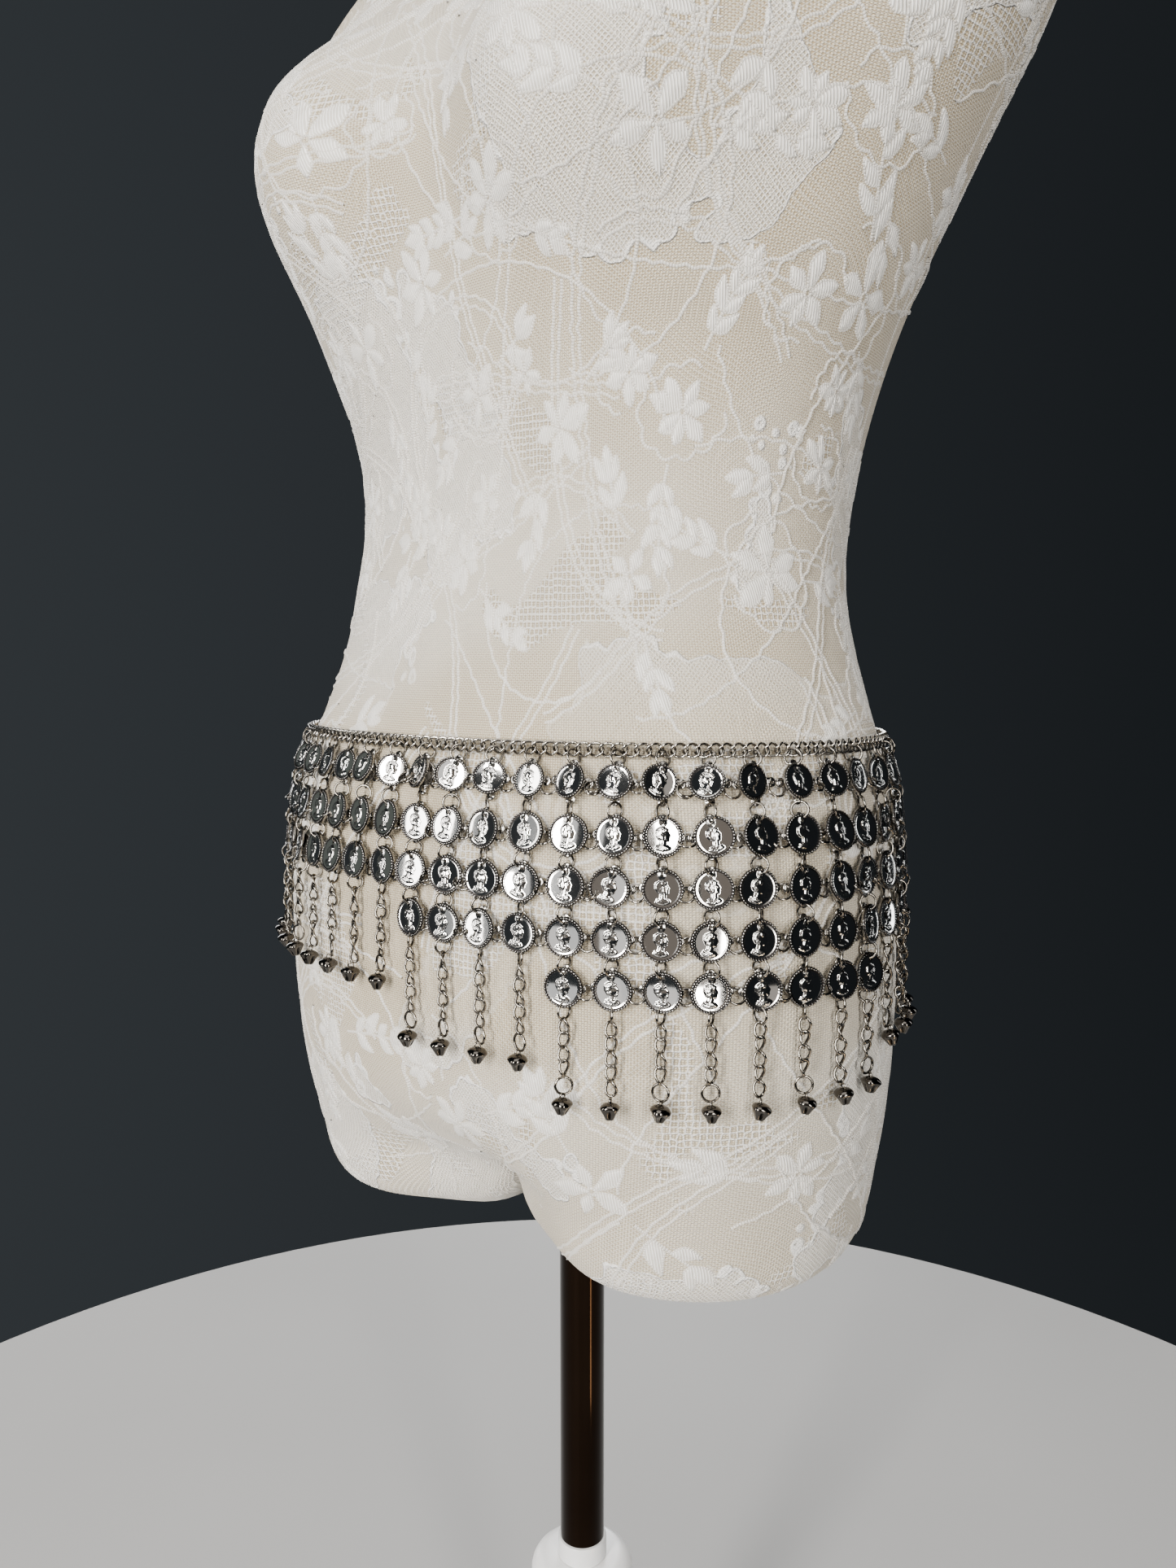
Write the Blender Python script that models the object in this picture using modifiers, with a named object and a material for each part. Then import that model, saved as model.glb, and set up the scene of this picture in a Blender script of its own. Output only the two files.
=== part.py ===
"""A coin waist chain, worn round the hips of a limbless dress form on a pole stand.

Run with: blender --background --python part.py
Metres, +Z up. The floor is z = 0 and the pole is the Z axis. The form faces -Y, so its left side is +X.
Each hanging column of the chain net is one solid: a top ring, its coins on their connectors, the links
between them, and a dangle with a bell. The net is deepest over the left hip and closes at the back.
"""

import math

import bmesh
import bpy
from mathutils import Vector
from mathutils.bvhtree import BVHTree

# Stand, from the floor up
BASE_RADIUS = 0.140
BASE_THICKNESS = 0.008
BASE_CROWN = 0.006
LOWER_TUBE_RADIUS = 0.014
HUB_Z = 0.165
HUB_RADIUS = 0.0265
HUB_HEIGHT = 0.022
SLEEVE_RADIUS = 0.0126
SLEEVE_HEIGHT = 0.010
POLE_RADIUS = 0.0114
POLE_DEPTH_IN_FORM = 0.050
POLE_CLEARANCE = 0.0004
SEAT_GAP = 0.0003

# Dress form
CHAIN_Z = 0.620
AROUND = 36
BRIDGE_STEPS = 4
CROTCH_RISE = 0.008
# Height above the waist chain, half width, lean to the back, front depth, back depth, squareness
FORM_RINGS = (
    (-0.197, 0.1490, -0.006, 0.098, 0.118, 2.20),
    (-0.182, 0.1520, -0.006, 0.102, 0.119, 2.20),
    (-0.163, 0.1545, -0.006, 0.106, 0.119, 2.20),
    (-0.142, 0.1560, -0.006, 0.109, 0.119, 2.20),
    (-0.115, 0.1570, -0.006, 0.111, 0.119, 2.20),
    (-0.088, 0.1570, -0.006, 0.112, 0.118, 2.20),
    (-0.062, 0.1560, -0.006, 0.111, 0.116, 2.20),
    (-0.036, 0.1540, -0.005, 0.109, 0.114, 2.20),
    (-0.010, 0.1500, -0.004, 0.105, 0.111, 2.15),
    (0.015, 0.1410, -0.002, 0.097, 0.106, 2.10),
    (0.040, 0.1320, 0.000, 0.091, 0.102, 2.10),
    (0.065, 0.1270, 0.002, 0.089, 0.100, 2.10),
    (0.085, 0.1255, 0.005, 0.087, 0.100, 2.10),
    (0.110, 0.1270, 0.009, 0.088, 0.101, 2.10),
    (0.140, 0.1320, 0.012, 0.092, 0.104, 2.15),
    (0.170, 0.1430, 0.010, 0.098, 0.107, 2.20),
    (0.195, 0.1530, 0.012, 0.101, 0.110, 2.25),
    (0.220, 0.1630, 0.015, 0.103, 0.113, 2.30),
    (0.240, 0.1720, 0.018, 0.104, 0.115, 2.30),
    (0.260, 0.1820, 0.022, 0.104, 0.115, 2.30),
    (0.280, 0.1920, 0.026, 0.103, 0.113, 2.35),
    (0.300, 0.2010, 0.030, 0.100, 0.109, 2.40),
    (0.320, 0.2070, 0.034, 0.096, 0.103, 2.40),
    (0.340, 0.2080, 0.038, 0.090, 0.096, 2.40),
    (0.360, 0.2020, 0.041, 0.083, 0.087, 2.35),
    (0.378, 0.1830, 0.043, 0.075, 0.076, 2.30),
    (0.392, 0.1600, 0.043, 0.068, 0.069, 2.20),
    (0.404, 0.1280, 0.042, 0.063, 0.064, 2.10),
    (0.415, 0.0950, 0.041, 0.059, 0.060, 2.00),
    (0.428, 0.0700, 0.039, 0.056, 0.057, 2.00),
    (0.445, 0.0580, 0.036, 0.054, 0.055, 2.00),
    (0.470, 0.0550, 0.033, 0.052, 0.053, 2.00),
    (0.495, 0.0540, 0.031, 0.051, 0.052, 2.00),
)
# Height above the waist chain, scale about the thigh's centre
THIGH_RINGS = (
    (-0.212, 0.975),
    (-0.225, 0.920),
    (-0.2320, 0.800),
    (-0.2340, 0.600),
)
# Swellings and creases: centre height, upper spread, lower spread, distance from the middle, width,
# depth, roundness
BUST = (0.257, 0.057, 0.058, 0.080, 0.060, 0.050, 1.5)
SEAT = (-0.120, 0.055, 0.050, 0.070, 0.055, 0.014, 1.0)
FRONT_CREASE = (-0.205, 0.026, 0.022, 0.0, 0.050, 0.052, 1.0)
BACK_CREASE = (-0.205, 0.040, 0.022, 0.0, 0.024, 0.055, 1.0)

# Net of coins
NET_CENTRE_FORWARD = 0.076
COLUMN_PITCH = 0.0181
ROWS_OF_COLUMNS = (3,) * 8 + (4,) * 4 + (5,) * 8 + (4,) * 4 + (3,) * 8
TOP_COIN_RADIUS = 0.0072
COIN_RADIUS = 0.0081
FIRST_COIN = 0.0125
SECOND_COIN = 0.0330
ROW_PITCH = 0.0199
COIN_THICKNESS = 0.0022
LINK_INNER = 0.0004
LINK_OUTER = 0.0018
LINK_HALF_WIDTH = 0.0026
LINK_DROP = 0.0011
TAB_HALF_HEIGHT = 0.0014
TAB_STEP = 0.0002
COLUMN_GAP = 0.0002
FORM_CLEARANCE = 0.0009
# Share of the coin's radius, down from its centre, where the outline has a corner
COIN_CORNERS = (0.92, 0.64)
# Dangle, measured from the last coin's centre: drop, half width, inner face, outer face
DANGLE = (
    (0.0112, 0.0038, 0.0005, 0.0019),
    (0.0152, 0.0011, 0.0012, 0.0026),
    (0.0215, 0.0021, 0.0015, 0.0033),
    (0.0325, 0.0011, 0.0024, 0.0042),
    (0.0372, 0.0036, 0.0029, 0.0045),
    (0.0410, 0.0010, 0.0033, 0.0051),
    (0.0426, 0.0040, 0.0006, 0.0086),
    (0.0450, 0.0040, 0.0006, 0.0086),
    (0.0484, 0.0020, 0.0026, 0.0066),
)
# How much longer the dangle's chain is, by the column's coins
DANGLE_EXTRA = {3: 0.005, 4: 0.006, 5: 0.001}
DANGLE_TOP = 0.0152
DANGLE_END = 0.0372

# Waist chain and clasp
LINK_PITCH = 0.0046
LINK_HALF_HEIGHT = 0.0025
LINK_WAIST = 0.0018
CHAIN_THICKNESS = 0.0020
CLASP_LENGTH = 0.0130
CLASP_HALF_HEIGHT = 0.0034
CLASP_THICKNESS = 0.0030
CLASP_INNER = 0.0003
END_RING_RADIUS = 0.0036
END_RING_WIRE = 0.0009

PATH_STEP = 0.0025
PATH_DROP = 0.190
RAY_START = 0.15
# Guide outline of the hips: half width, front depth, back depth, squareness
GUIDE = (0.1560, 0.1160, 0.1120, 2.2)
GUIDE_STEPS = 1440


def clear_scene():
    for obj in list(bpy.data.objects):
        bpy.data.objects.remove(obj)


def make_collection(name):
    collection = bpy.data.collections.new(name)
    bpy.context.scene.collection.children.link(collection)
    return collection


def make_material(name, colour, roughness, metallic=0.0):
    material = bpy.data.materials.new(name)
    material.use_nodes = True
    shader = material.node_tree.nodes["Principled BSDF"]
    shader.inputs["Base Color"].default_value = (*colour, 1.0)
    shader.inputs["Roughness"].default_value = roughness
    shader.inputs["Metallic"].default_value = metallic
    return material


def add_mesh_object(name, verts, faces, material, collection):
    """One closed mesh with its faces turned outward."""
    mesh = bpy.data.meshes.new(name)
    mesh.from_pydata(verts, [], faces)
    shape = bmesh.new()
    shape.from_mesh(mesh)
    bmesh.ops.recalc_face_normals(shape, faces=shape.faces)
    shape.to_mesh(mesh)
    shape.free()
    mesh.materials.append(material)
    obj = bpy.data.objects.new(name, mesh)
    collection.objects.link(obj)
    return obj


def add_turned(name, profile, steps, material, collection):
    """A solid turned about the Z axis. The profile runs down its outer side, from the axis to the axis."""
    mesh = bpy.data.meshes.new(name)
    points = [(radius, 0.0, height) for radius, height in profile]
    mesh.from_pydata(points, [(i, i + 1) for i in range(len(points) - 1)], [])
    mesh.materials.append(material)
    obj = bpy.data.objects.new(name, mesh)
    collection.objects.link(obj)
    screw = obj.modifiers.new("Turn", "SCREW")
    screw.steps = steps
    screw.render_steps = steps
    screw.use_merge_vertices = True
    screw.merge_threshold = 0.00001
    return obj


def superellipse(angle, half_width, front, back, power):
    """A point of a closed outline. Angle 0 is the front centre, a quarter turn the left side."""
    across = math.sin(angle)
    along = -math.cos(angle)
    depth = front if along < 0 else back
    x = half_width * math.copysign(abs(across) ** (2 / power), across)
    y = depth * math.copysign(abs(along) ** (2 / power), along)
    return x, y


def bump(shape, x, height):
    """A rounded swelling on each side of the middle, or one crease along it."""
    centre, above, below, side, width, depth, roundness = shape
    spread = above if height > centre else below
    away = ((height - centre) / spread) ** 2 + ((abs(x) - side) / width) ** 2
    return depth * math.exp(-(away**roundness))


def form_point(angle, row):
    height, half_width, lean, front, back, power = row
    x, y = superellipse(angle, half_width, front, back, power)
    y += lean
    facing = -math.cos(angle)
    if facing < 0:
        y += facing * (bump(BUST, x, height) - bump(FRONT_CREASE, x, height))
    else:
        y += facing * (bump(SEAT, x, height) - bump(BACK_CREASE, x, height))
    return Vector((x, y, CHAIN_Z + height))


def form_cage():
    """Corner points and faces of the form: rings from the thighs to the neck, and two thigh stubs."""
    verts = []
    faces = []
    rings = []
    for row in FORM_RINGS:
        rings.append([len(verts) + i for i in range(AROUND)])
        verts += [form_point(math.tau * i / AROUND, row) for i in range(AROUND)]
    for low, high in zip(rings, rings[1:]):
        for i in range(AROUND):
            j = (i + 1) % AROUND
            faces.append((low[i], low[j], high[j], high[i]))
    faces.append(tuple(rings[-1]))

    half = AROUND // 2
    front, back = verts[rings[0][0]], verts[rings[0][half]]
    bridge = []
    for i in range(1, BRIDGE_STEPS):
        share = i / BRIDGE_STEPS
        point = front.lerp(back, share)
        point.z += CROTCH_RISE * math.sin(math.pi * share)
        bridge.append(len(verts))
        verts.append(point)
    left = rings[0][: half + 1] + bridge[::-1]
    right = rings[0][half:] + [rings[0][0]] + bridge
    for loop in (left, right):
        corners = [verts[i] for i in loop]
        centre = sum(corners, Vector()) / len(corners)
        upper = loop
        for height, scale in THIGH_RINGS:
            lower = []
            for corner in corners:
                point = centre.lerp(corner, scale)
                point.z = CHAIN_Z + height
                lower.append(len(verts))
                verts.append(point)
            for i in range(len(loop)):
                j = (i + 1) % len(loop)
                faces.append((lower[i], lower[j], upper[j], upper[i]))
            upper = lower
        faces.append(tuple(upper))
    return verts, faces


def guide_table():
    """Running length, place and outward normal round the hips' guide outline, from the front centre."""
    points = [
        Vector((*superellipse(math.tau * i / GUIDE_STEPS, *GUIDE), 0.0)) for i in range(GUIDE_STEPS + 1)
    ]
    lengths = [0.0]
    for a, b in zip(points, points[1:]):
        lengths.append(lengths[-1] + (b - a).length)
    return points, lengths


def guide_at(table, length):
    """Place, direction along the outline and outward normal at a running length."""
    points, lengths = table
    length %= lengths[-1]
    low, high = 0, len(lengths) - 1
    while high - low > 1:
        middle = (low + high) // 2
        if lengths[middle] <= length:
            low = middle
        else:
            high = middle
    share = (length - lengths[low]) / (lengths[high] - lengths[low])
    place = points[low].lerp(points[high], share)
    before = points[(low - 3) % GUIDE_STEPS]
    after = points[(high + 3) % GUIDE_STEPS]
    along = (after - before).normalized()
    return place, along, Vector((along.y, -along.x, 0.0))


def surface_offset(tree, place, outward, height):
    """How far the form's skin lies outside the guide outline at a height above the waist chain."""
    start = place + outward * RAY_START
    start.z = CHAIN_Z + height
    hit = tree.ray_cast(start, -outward)
    return RAY_START - hit[3]


def hanging_path(tree, place, outward):
    """Drop and offset pairs of a strand that starts at the waist chain: it lies on the form while the
    form swells, bridges hollows, and hangs straight down from the widest place."""
    count = int(PATH_DROP / PATH_STEP)
    profile = []
    for i in range(count):
        height = -i * PATH_STEP
        profile.append((height, surface_offset(tree, place, outward, height) + FORM_CLEARANCE))
    path = [profile[0]]
    at = 0
    while at < count - 1:
        z0, d0 = profile[at]
        slopes = [(profile[j][1] - d0) / (z0 - profile[j][0]) for j in range(at + 1, count)]
        steepest = max(slopes)
        if steepest <= 0:
            path.append((profile[-1][0], d0))
            break
        at += 1 + slopes.index(steepest)
        path.append(profile[at])
    return path


def along_path(path, travel):
    """Offset and height at a distance along a hanging path, and the slope there."""
    for (z0, d0), (z1, d1) in zip(path, path[1:]):
        step = math.hypot(z1 - z0, d1 - d0)
        if travel <= step or (z1, d1) == path[-1]:
            share = travel / step
            return d0 + (d1 - d0) * share, z0 + (z1 - z0) * share
        travel -= step
    return d0, z0


class Column:
    """One hanging column: where it lies round the hips, and the curve that it hangs in."""

    def __init__(self, tree, table, length):
        self.place, self.across, self.outward = guide_at(table, length)
        self.path = hanging_path(tree, self.place, self.outward)

    def point(self, travel):
        offset, height = along_path(self.path, travel)
        point = self.place + self.outward * offset
        point.z = CHAIN_Z + height
        return point

    def frame(self, travel, reach=0.004):
        """Place on the hanging curve and the direction that faces away from the form."""
        down = (self.point(travel + reach) - self.point(max(travel - reach, 0.0))).normalized()
        return self.point(travel), down.cross(self.across).normalized()


def loft(stations):
    """Corners and faces of a bar of four-cornered sections: place, across, out, left, right, inner, outer."""
    verts = []
    faces = []
    for place, across, out, left, right, inner, outer in stations:
        verts += [
            place - across * left + out * inner,
            place + across * right + out * inner,
            place + across * right + out * outer,
            place - across * left + out * outer,
        ]
    for i in range(len(stations) - 1):
        low = 4 * i
        for j in range(4):
            k = (j + 1) % 4
            faces.append((low + j, low + k, low + 4 + k, low + 4 + j))
    faces.append((0, 1, 2, 3))
    last = len(verts) - 4
    faces.append((last, last + 1, last + 2, last + 3))
    return verts, faces


def coin_travel(row):
    """Distance of a coin's centre down the column. Row 0 is the top one."""
    return FIRST_COIN if row == 0 else SECOND_COIN + (row - 1) * ROW_PITCH


def coin_outline(row, left_tab, right_tab):
    """Travel, left and right half widths, inner and outer faces of one coin with its side links."""
    radius = TOP_COIN_RADIUS if row == 0 else COIN_RADIUS
    middle = coin_travel(row)
    outline = []
    for share in COIN_CORNERS:
        outline.append((share * radius, radius * math.sqrt(1 - share**2)))
    edge = TAB_HALF_HEIGHT + TAB_STEP
    outline.append((edge, math.sqrt(radius**2 - edge**2)))
    above = [(middle - drop, width, width, 0.0, COIN_THICKNESS) for drop, width in outline]
    below = [(middle + drop, width, width, 0.0, COIN_THICKNESS) for drop, width in reversed(outline)]
    left = max(radius, left_tab)
    right = max(radius, right_tab)
    tab = [
        (middle - TAB_HALF_HEIGHT, left, right, 0.0, COIN_THICKNESS),
        (middle + TAB_HALF_HEIGHT, left, right, 0.0, COIN_THICKNESS),
    ]
    return above + tab + below


def tab_width(column, neighbour, row):
    """Half the way to the next column's coin at this row, less half of the gap between them."""
    if neighbour is None:
        return 0.0
    apart = (column.point(coin_travel(row)) - neighbour.point(coin_travel(row))).length
    return apart / 2 - COLUMN_GAP


def dangle_drop(drop, rows):
    """The drop below the last coin, with the chain part stretched to the column's own length."""
    share = (drop - DANGLE_TOP) / (DANGLE_END - DANGLE_TOP)
    return drop + DANGLE_EXTRA[rows] * min(max(share, 0.0), 1.0)


def column_stations(index, columns):
    column = columns[index]
    rows = ROWS_OF_COLUMNS[index]
    top = LINK_HALF_HEIGHT + LINK_DROP
    lines = [(top, LINK_HALF_WIDTH, LINK_HALF_WIDTH, LINK_INNER, LINK_OUTER)]
    for row in range(rows):
        sides = []
        for other in (index - 1, index + 1):
            linked = 0 <= other < len(columns) and row < ROWS_OF_COLUMNS[other]
            sides.append(tab_width(column, columns[other] if linked else None, row))
        lines += coin_outline(row, *sides)
    last = coin_travel(rows - 1)
    for drop, width, inner, outer in DANGLE:
        lines.append((last + dangle_drop(drop, rows), width, width, inner, outer))
    stations = []
    for travel, left, right, inner, outer in lines:
        place, out = column.frame(travel)
        stations.append((place, column.across, out, left, right, inner, outer))
    return stations


def chain_station(tree, table, length, half_height, thickness, inner=0.0):
    """A section of something that lies along the waist chain's line, as a loft's station."""
    place, _along, outward = guide_at(table, length)
    levels = (-CLASP_HALF_HEIGHT, 0.0, CLASP_HALF_HEIGHT)
    offset = max(surface_offset(tree, place, outward, level) for level in levels)
    point = place + outward * (offset + FORM_CLEARANCE)
    point.z = CHAIN_Z
    return point, Vector((0, 0, 1)), outward, half_height, half_height, inner, inner + thickness


def add_waist_chain(tree, table, start, end, material, collection):
    """The curb chain, as a band whose edges swell at every pair of links."""
    pairs = round((end - start) / (2 * LINK_PITCH))
    stations = []
    for i in range(2 * pairs + 1):
        length = start + (end - start) * i / (2 * pairs)
        half_height = LINK_HALF_HEIGHT if i % 2 else LINK_WAIST
        stations.append(chain_station(tree, table, length, half_height, CHAIN_THICKNESS))
    add_mesh_object("waist_chain", *loft(stations), material, collection)


def add_clasp(tree, table, start, material, collection):
    """The lobster clasp's body, a rounded bar that follows the form."""
    # Share of the length, share of the half height
    outline = ((0.0, 0.30), (0.12, 0.62), (0.35, 0.95), (0.60, 1.0), (0.85, 0.72), (1.0, 0.35))
    stations = []
    for share, height in outline:
        length = start + share * CLASP_LENGTH
        half_height = height * CLASP_HALF_HEIGHT
        stations.append(chain_station(tree, table, length, half_height, CLASP_THICKNESS, CLASP_INNER))
    add_mesh_object("clasp", *loft(stations), material, collection)


def add_end_ring(tree, table, length, material, collection):
    """The ring that the clasp closes on, lying flat on the form."""
    point, _up, outward, *_rest = chain_station(tree, table, length, 0.0, 0.0)
    bpy.ops.mesh.primitive_torus_add(
        major_radius=END_RING_RADIUS - END_RING_WIRE,
        minor_radius=END_RING_WIRE,
        major_segments=16,
        minor_segments=6,
    )
    ring = bpy.context.object
    ring.name = "end_ring"
    ring.rotation_mode = "QUATERNION"
    ring.rotation_quaternion = outward.to_track_quat("Z", "Y")
    ring.location = point + outward * (END_RING_WIRE + LINK_INNER)
    ring.data.materials.append(material)
    for other in list(ring.users_collection):
        other.objects.unlink(ring)
    collection.objects.link(ring)


def add_form(material, collection, cutters):
    """The torso, bored from below for the pole."""
    verts, faces = form_cage()
    form = add_mesh_object("form_torso", verts, faces, material, collection)
    socket_top = CHAIN_Z + FORM_RINGS[0][0] + POLE_DEPTH_IN_FORM
    socket_bottom = CHAIN_Z + THIGH_RINGS[-1][0] - POLE_DEPTH_IN_FORM
    bpy.ops.mesh.primitive_cylinder_add(
        vertices=24,
        radius=POLE_RADIUS + POLE_CLEARANCE,
        depth=socket_top - socket_bottom,
        location=(0, 0, (socket_top + socket_bottom) / 2),
    )
    cutter = bpy.context.object
    cutter.name = "pole_socket"
    cutter.hide_render = True
    cutter.display_type = "WIRE"
    for other in list(cutter.users_collection):
        other.objects.unlink(cutter)
    cutters.objects.link(cutter)
    bore = form.modifiers.new("Pole socket", "BOOLEAN")
    bore.operation = "DIFFERENCE"
    bore.object = cutter
    return BVHTree.FromPolygons(verts, faces), socket_top


def add_stand(chrome, white, socket_top, collection):
    """Round base, lower tube, domed hub, sleeve and the pole that carries the form."""
    crown = BASE_THICKNESS + BASE_CROWN
    rim = BASE_RADIUS - 0.003
    base = [(0, crown), (0.030, crown - 0.0006), (0.080, BASE_THICKNESS + 0.003), (rim, BASE_THICKNESS)]
    base += [(BASE_RADIUS, BASE_THICKNESS - 0.003), (BASE_RADIUS, 0.0015), (rim + 0.0015, 0.0), (0, 0.0)]
    add_turned("base_plate", base, 36, white, collection)

    tube_bottom = crown + SEAT_GAP
    tube_top = HUB_Z - SEAT_GAP
    tube = [(0, tube_top), (LOWER_TUBE_RADIUS, tube_top), (LOWER_TUBE_RADIUS, tube_bottom), (0, tube_bottom)]
    add_turned("lower_tube", tube, 20, chrome, collection)

    hub_top = HUB_Z + HUB_HEIGHT
    hub = [(0, hub_top)]
    # Share of the radius, depth below the top
    for share, depth in ((0.80, 0.0004), (0.92, 0.0022), (1.0, 0.0070), (1.0, 0.0150), (0.90, 0.0200)):
        hub.append((share * HUB_RADIUS, hub_top - depth))
    hub += [(0.7 * HUB_RADIUS, HUB_Z), (0, HUB_Z)]
    add_turned("hub", hub, 28, white, collection)

    sleeve_bottom = hub_top + SEAT_GAP
    sleeve_top = sleeve_bottom + SLEEVE_HEIGHT
    sleeve = [(0, sleeve_top), (SLEEVE_RADIUS - 0.0008, sleeve_top), (SLEEVE_RADIUS, sleeve_top - 0.0008)]
    sleeve += [(SLEEVE_RADIUS, sleeve_bottom), (0, sleeve_bottom)]
    add_turned("sleeve", sleeve, 20, white, collection)

    pole_bottom = sleeve_top + SEAT_GAP
    pole_top = socket_top - SEAT_GAP
    pole = [(0, pole_top), (POLE_RADIUS, pole_top), (POLE_RADIUS, pole_bottom), (0, pole_bottom)]
    add_turned("pole", pole, 24, chrome, collection)


def main():
    clear_scene()
    parts = make_collection("coin waist chain on dress form")
    cutters = make_collection("cutters")
    knit = make_material("ivory knit and lace", (0.80, 0.77, 0.71), 0.85)
    chrome = make_material("chrome", (0.62, 0.60, 0.57), 0.08, 1.0)
    white = make_material("white plastic", (0.85, 0.85, 0.84), 0.35)
    silver = make_material("silver plate", (0.72, 0.71, 0.69), 0.18, 1.0)

    tree, socket_top = add_form(knit, parts, cutters)
    add_stand(chrome, white, socket_top, parts)

    table = guide_table()
    around = table[1][-1]
    side = around * 0.0
    points, lengths = table
    for point, length in zip(points, lengths):
        if point.y >= 0:
            side = length
            break
    centre = side - NET_CENTRE_FORWARD
    count = len(ROWS_OF_COLUMNS)
    columns = [Column(tree, table, centre + (i - (count - 1) / 2) * COLUMN_PITCH) for i in range(count)]
    for i in range(count):
        add_mesh_object(f"coin_column_{i + 1:02d}", *loft(column_stations(i, columns)), silver, parts)

    opening = centre + around / 2
    ring_span = 2 * END_RING_RADIUS
    clasp_start = opening - CLASP_LENGTH / 2
    clasp_end = opening + CLASP_LENGTH / 2
    slack = 0.0006
    add_clasp(tree, table, clasp_start, silver, parts)
    add_end_ring(tree, table, clasp_end + slack + END_RING_RADIUS, silver, parts)
    chain_start = clasp_end + 2 * slack + ring_span - around
    add_waist_chain(tree, table, chain_start, clasp_start - slack, silver, parts)


main()
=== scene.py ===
"""Looks for the coin waist chain on its dress form: every coin, link, ring and bell, the form's knit and
lace cover, and the stand. Metres, +Z up; the form faces -Y and its left side is +X."""

import bisect
import math
import random

import bpy
import numpy as np
from mathutils import Matrix, Vector
from mathutils.bvhtree import BVHTree
from mathutils.geometry import delaunay_2d_cdt


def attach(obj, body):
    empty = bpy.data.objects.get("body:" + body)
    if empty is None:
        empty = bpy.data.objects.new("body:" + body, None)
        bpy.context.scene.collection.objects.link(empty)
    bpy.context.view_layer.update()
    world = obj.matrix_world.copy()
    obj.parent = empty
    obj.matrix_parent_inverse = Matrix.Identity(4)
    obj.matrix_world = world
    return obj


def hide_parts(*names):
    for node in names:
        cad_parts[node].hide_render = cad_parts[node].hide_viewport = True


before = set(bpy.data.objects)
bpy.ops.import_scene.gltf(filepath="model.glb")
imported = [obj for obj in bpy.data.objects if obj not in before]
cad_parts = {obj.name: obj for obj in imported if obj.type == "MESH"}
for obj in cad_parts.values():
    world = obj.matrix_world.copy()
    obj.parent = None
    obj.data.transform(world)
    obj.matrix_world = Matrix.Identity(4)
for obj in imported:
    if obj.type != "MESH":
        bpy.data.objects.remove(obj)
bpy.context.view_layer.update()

# Form, as in the part's source
CHAIN_Z = 0.620
AROUND = 36
BRIDGE_STEPS = 4
CROTCH_RISE = 0.008
# Height above the waist chain, half width, lean to the back, front depth, back depth, squareness
FORM_RINGS = (
    (-0.197, 0.1490, -0.006, 0.098, 0.118, 2.20),
    (-0.182, 0.1520, -0.006, 0.102, 0.119, 2.20),
    (-0.163, 0.1545, -0.006, 0.106, 0.119, 2.20),
    (-0.142, 0.1560, -0.006, 0.109, 0.119, 2.20),
    (-0.115, 0.1570, -0.006, 0.111, 0.119, 2.20),
    (-0.088, 0.1570, -0.006, 0.112, 0.118, 2.20),
    (-0.062, 0.1560, -0.006, 0.111, 0.116, 2.20),
    (-0.036, 0.1540, -0.005, 0.109, 0.114, 2.20),
    (-0.010, 0.1500, -0.004, 0.105, 0.111, 2.15),
    (0.015, 0.1410, -0.002, 0.097, 0.106, 2.10),
    (0.040, 0.1320, 0.000, 0.091, 0.102, 2.10),
    (0.065, 0.1270, 0.002, 0.089, 0.100, 2.10),
    (0.085, 0.1255, 0.005, 0.087, 0.100, 2.10),
    (0.110, 0.1270, 0.009, 0.088, 0.101, 2.10),
    (0.140, 0.1320, 0.012, 0.092, 0.104, 2.15),
    (0.170, 0.1430, 0.010, 0.098, 0.107, 2.20),
    (0.195, 0.1530, 0.012, 0.101, 0.110, 2.25),
    (0.220, 0.1630, 0.015, 0.103, 0.113, 2.30),
    (0.240, 0.1720, 0.018, 0.104, 0.115, 2.30),
    (0.260, 0.1820, 0.022, 0.104, 0.115, 2.30),
    (0.280, 0.1920, 0.026, 0.103, 0.113, 2.35),
    (0.300, 0.2010, 0.030, 0.100, 0.109, 2.40),
    (0.320, 0.2070, 0.034, 0.096, 0.103, 2.40),
    (0.340, 0.2080, 0.038, 0.090, 0.096, 2.40),
    (0.360, 0.2020, 0.041, 0.083, 0.087, 2.35),
    (0.378, 0.1830, 0.043, 0.075, 0.076, 2.30),
    (0.392, 0.1600, 0.043, 0.068, 0.069, 2.20),
    (0.404, 0.1280, 0.042, 0.063, 0.064, 2.10),
    (0.415, 0.0950, 0.041, 0.059, 0.060, 2.00),
    (0.428, 0.0700, 0.039, 0.056, 0.057, 2.00),
    (0.445, 0.0580, 0.036, 0.054, 0.055, 2.00),
    (0.470, 0.0550, 0.033, 0.052, 0.053, 2.00),
    (0.495, 0.0540, 0.031, 0.051, 0.052, 2.00),
)
# Height above the waist chain, scale about the thigh's centre
THIGH_RINGS = (
    (-0.212, 0.975),
    (-0.225, 0.920),
    (-0.2320, 0.800),
    (-0.2340, 0.600),
)
# Swellings and creases: centre height, upper spread, lower spread, distance from the middle, width,
# depth, roundness
BUST = (0.257, 0.057, 0.058, 0.080, 0.060, 0.050, 1.5)
SEAT = (-0.120, 0.055, 0.050, 0.070, 0.055, 0.014, 1.0)
FRONT_CREASE = (-0.205, 0.026, 0.022, 0.0, 0.050, 0.052, 1.0)
BACK_CREASE = (-0.205, 0.040, 0.022, 0.0, 0.024, 0.055, 1.0)
GUIDE = (0.1560, 0.1160, 0.1120, 2.2)
GUIDE_STEPS = 1440

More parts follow.
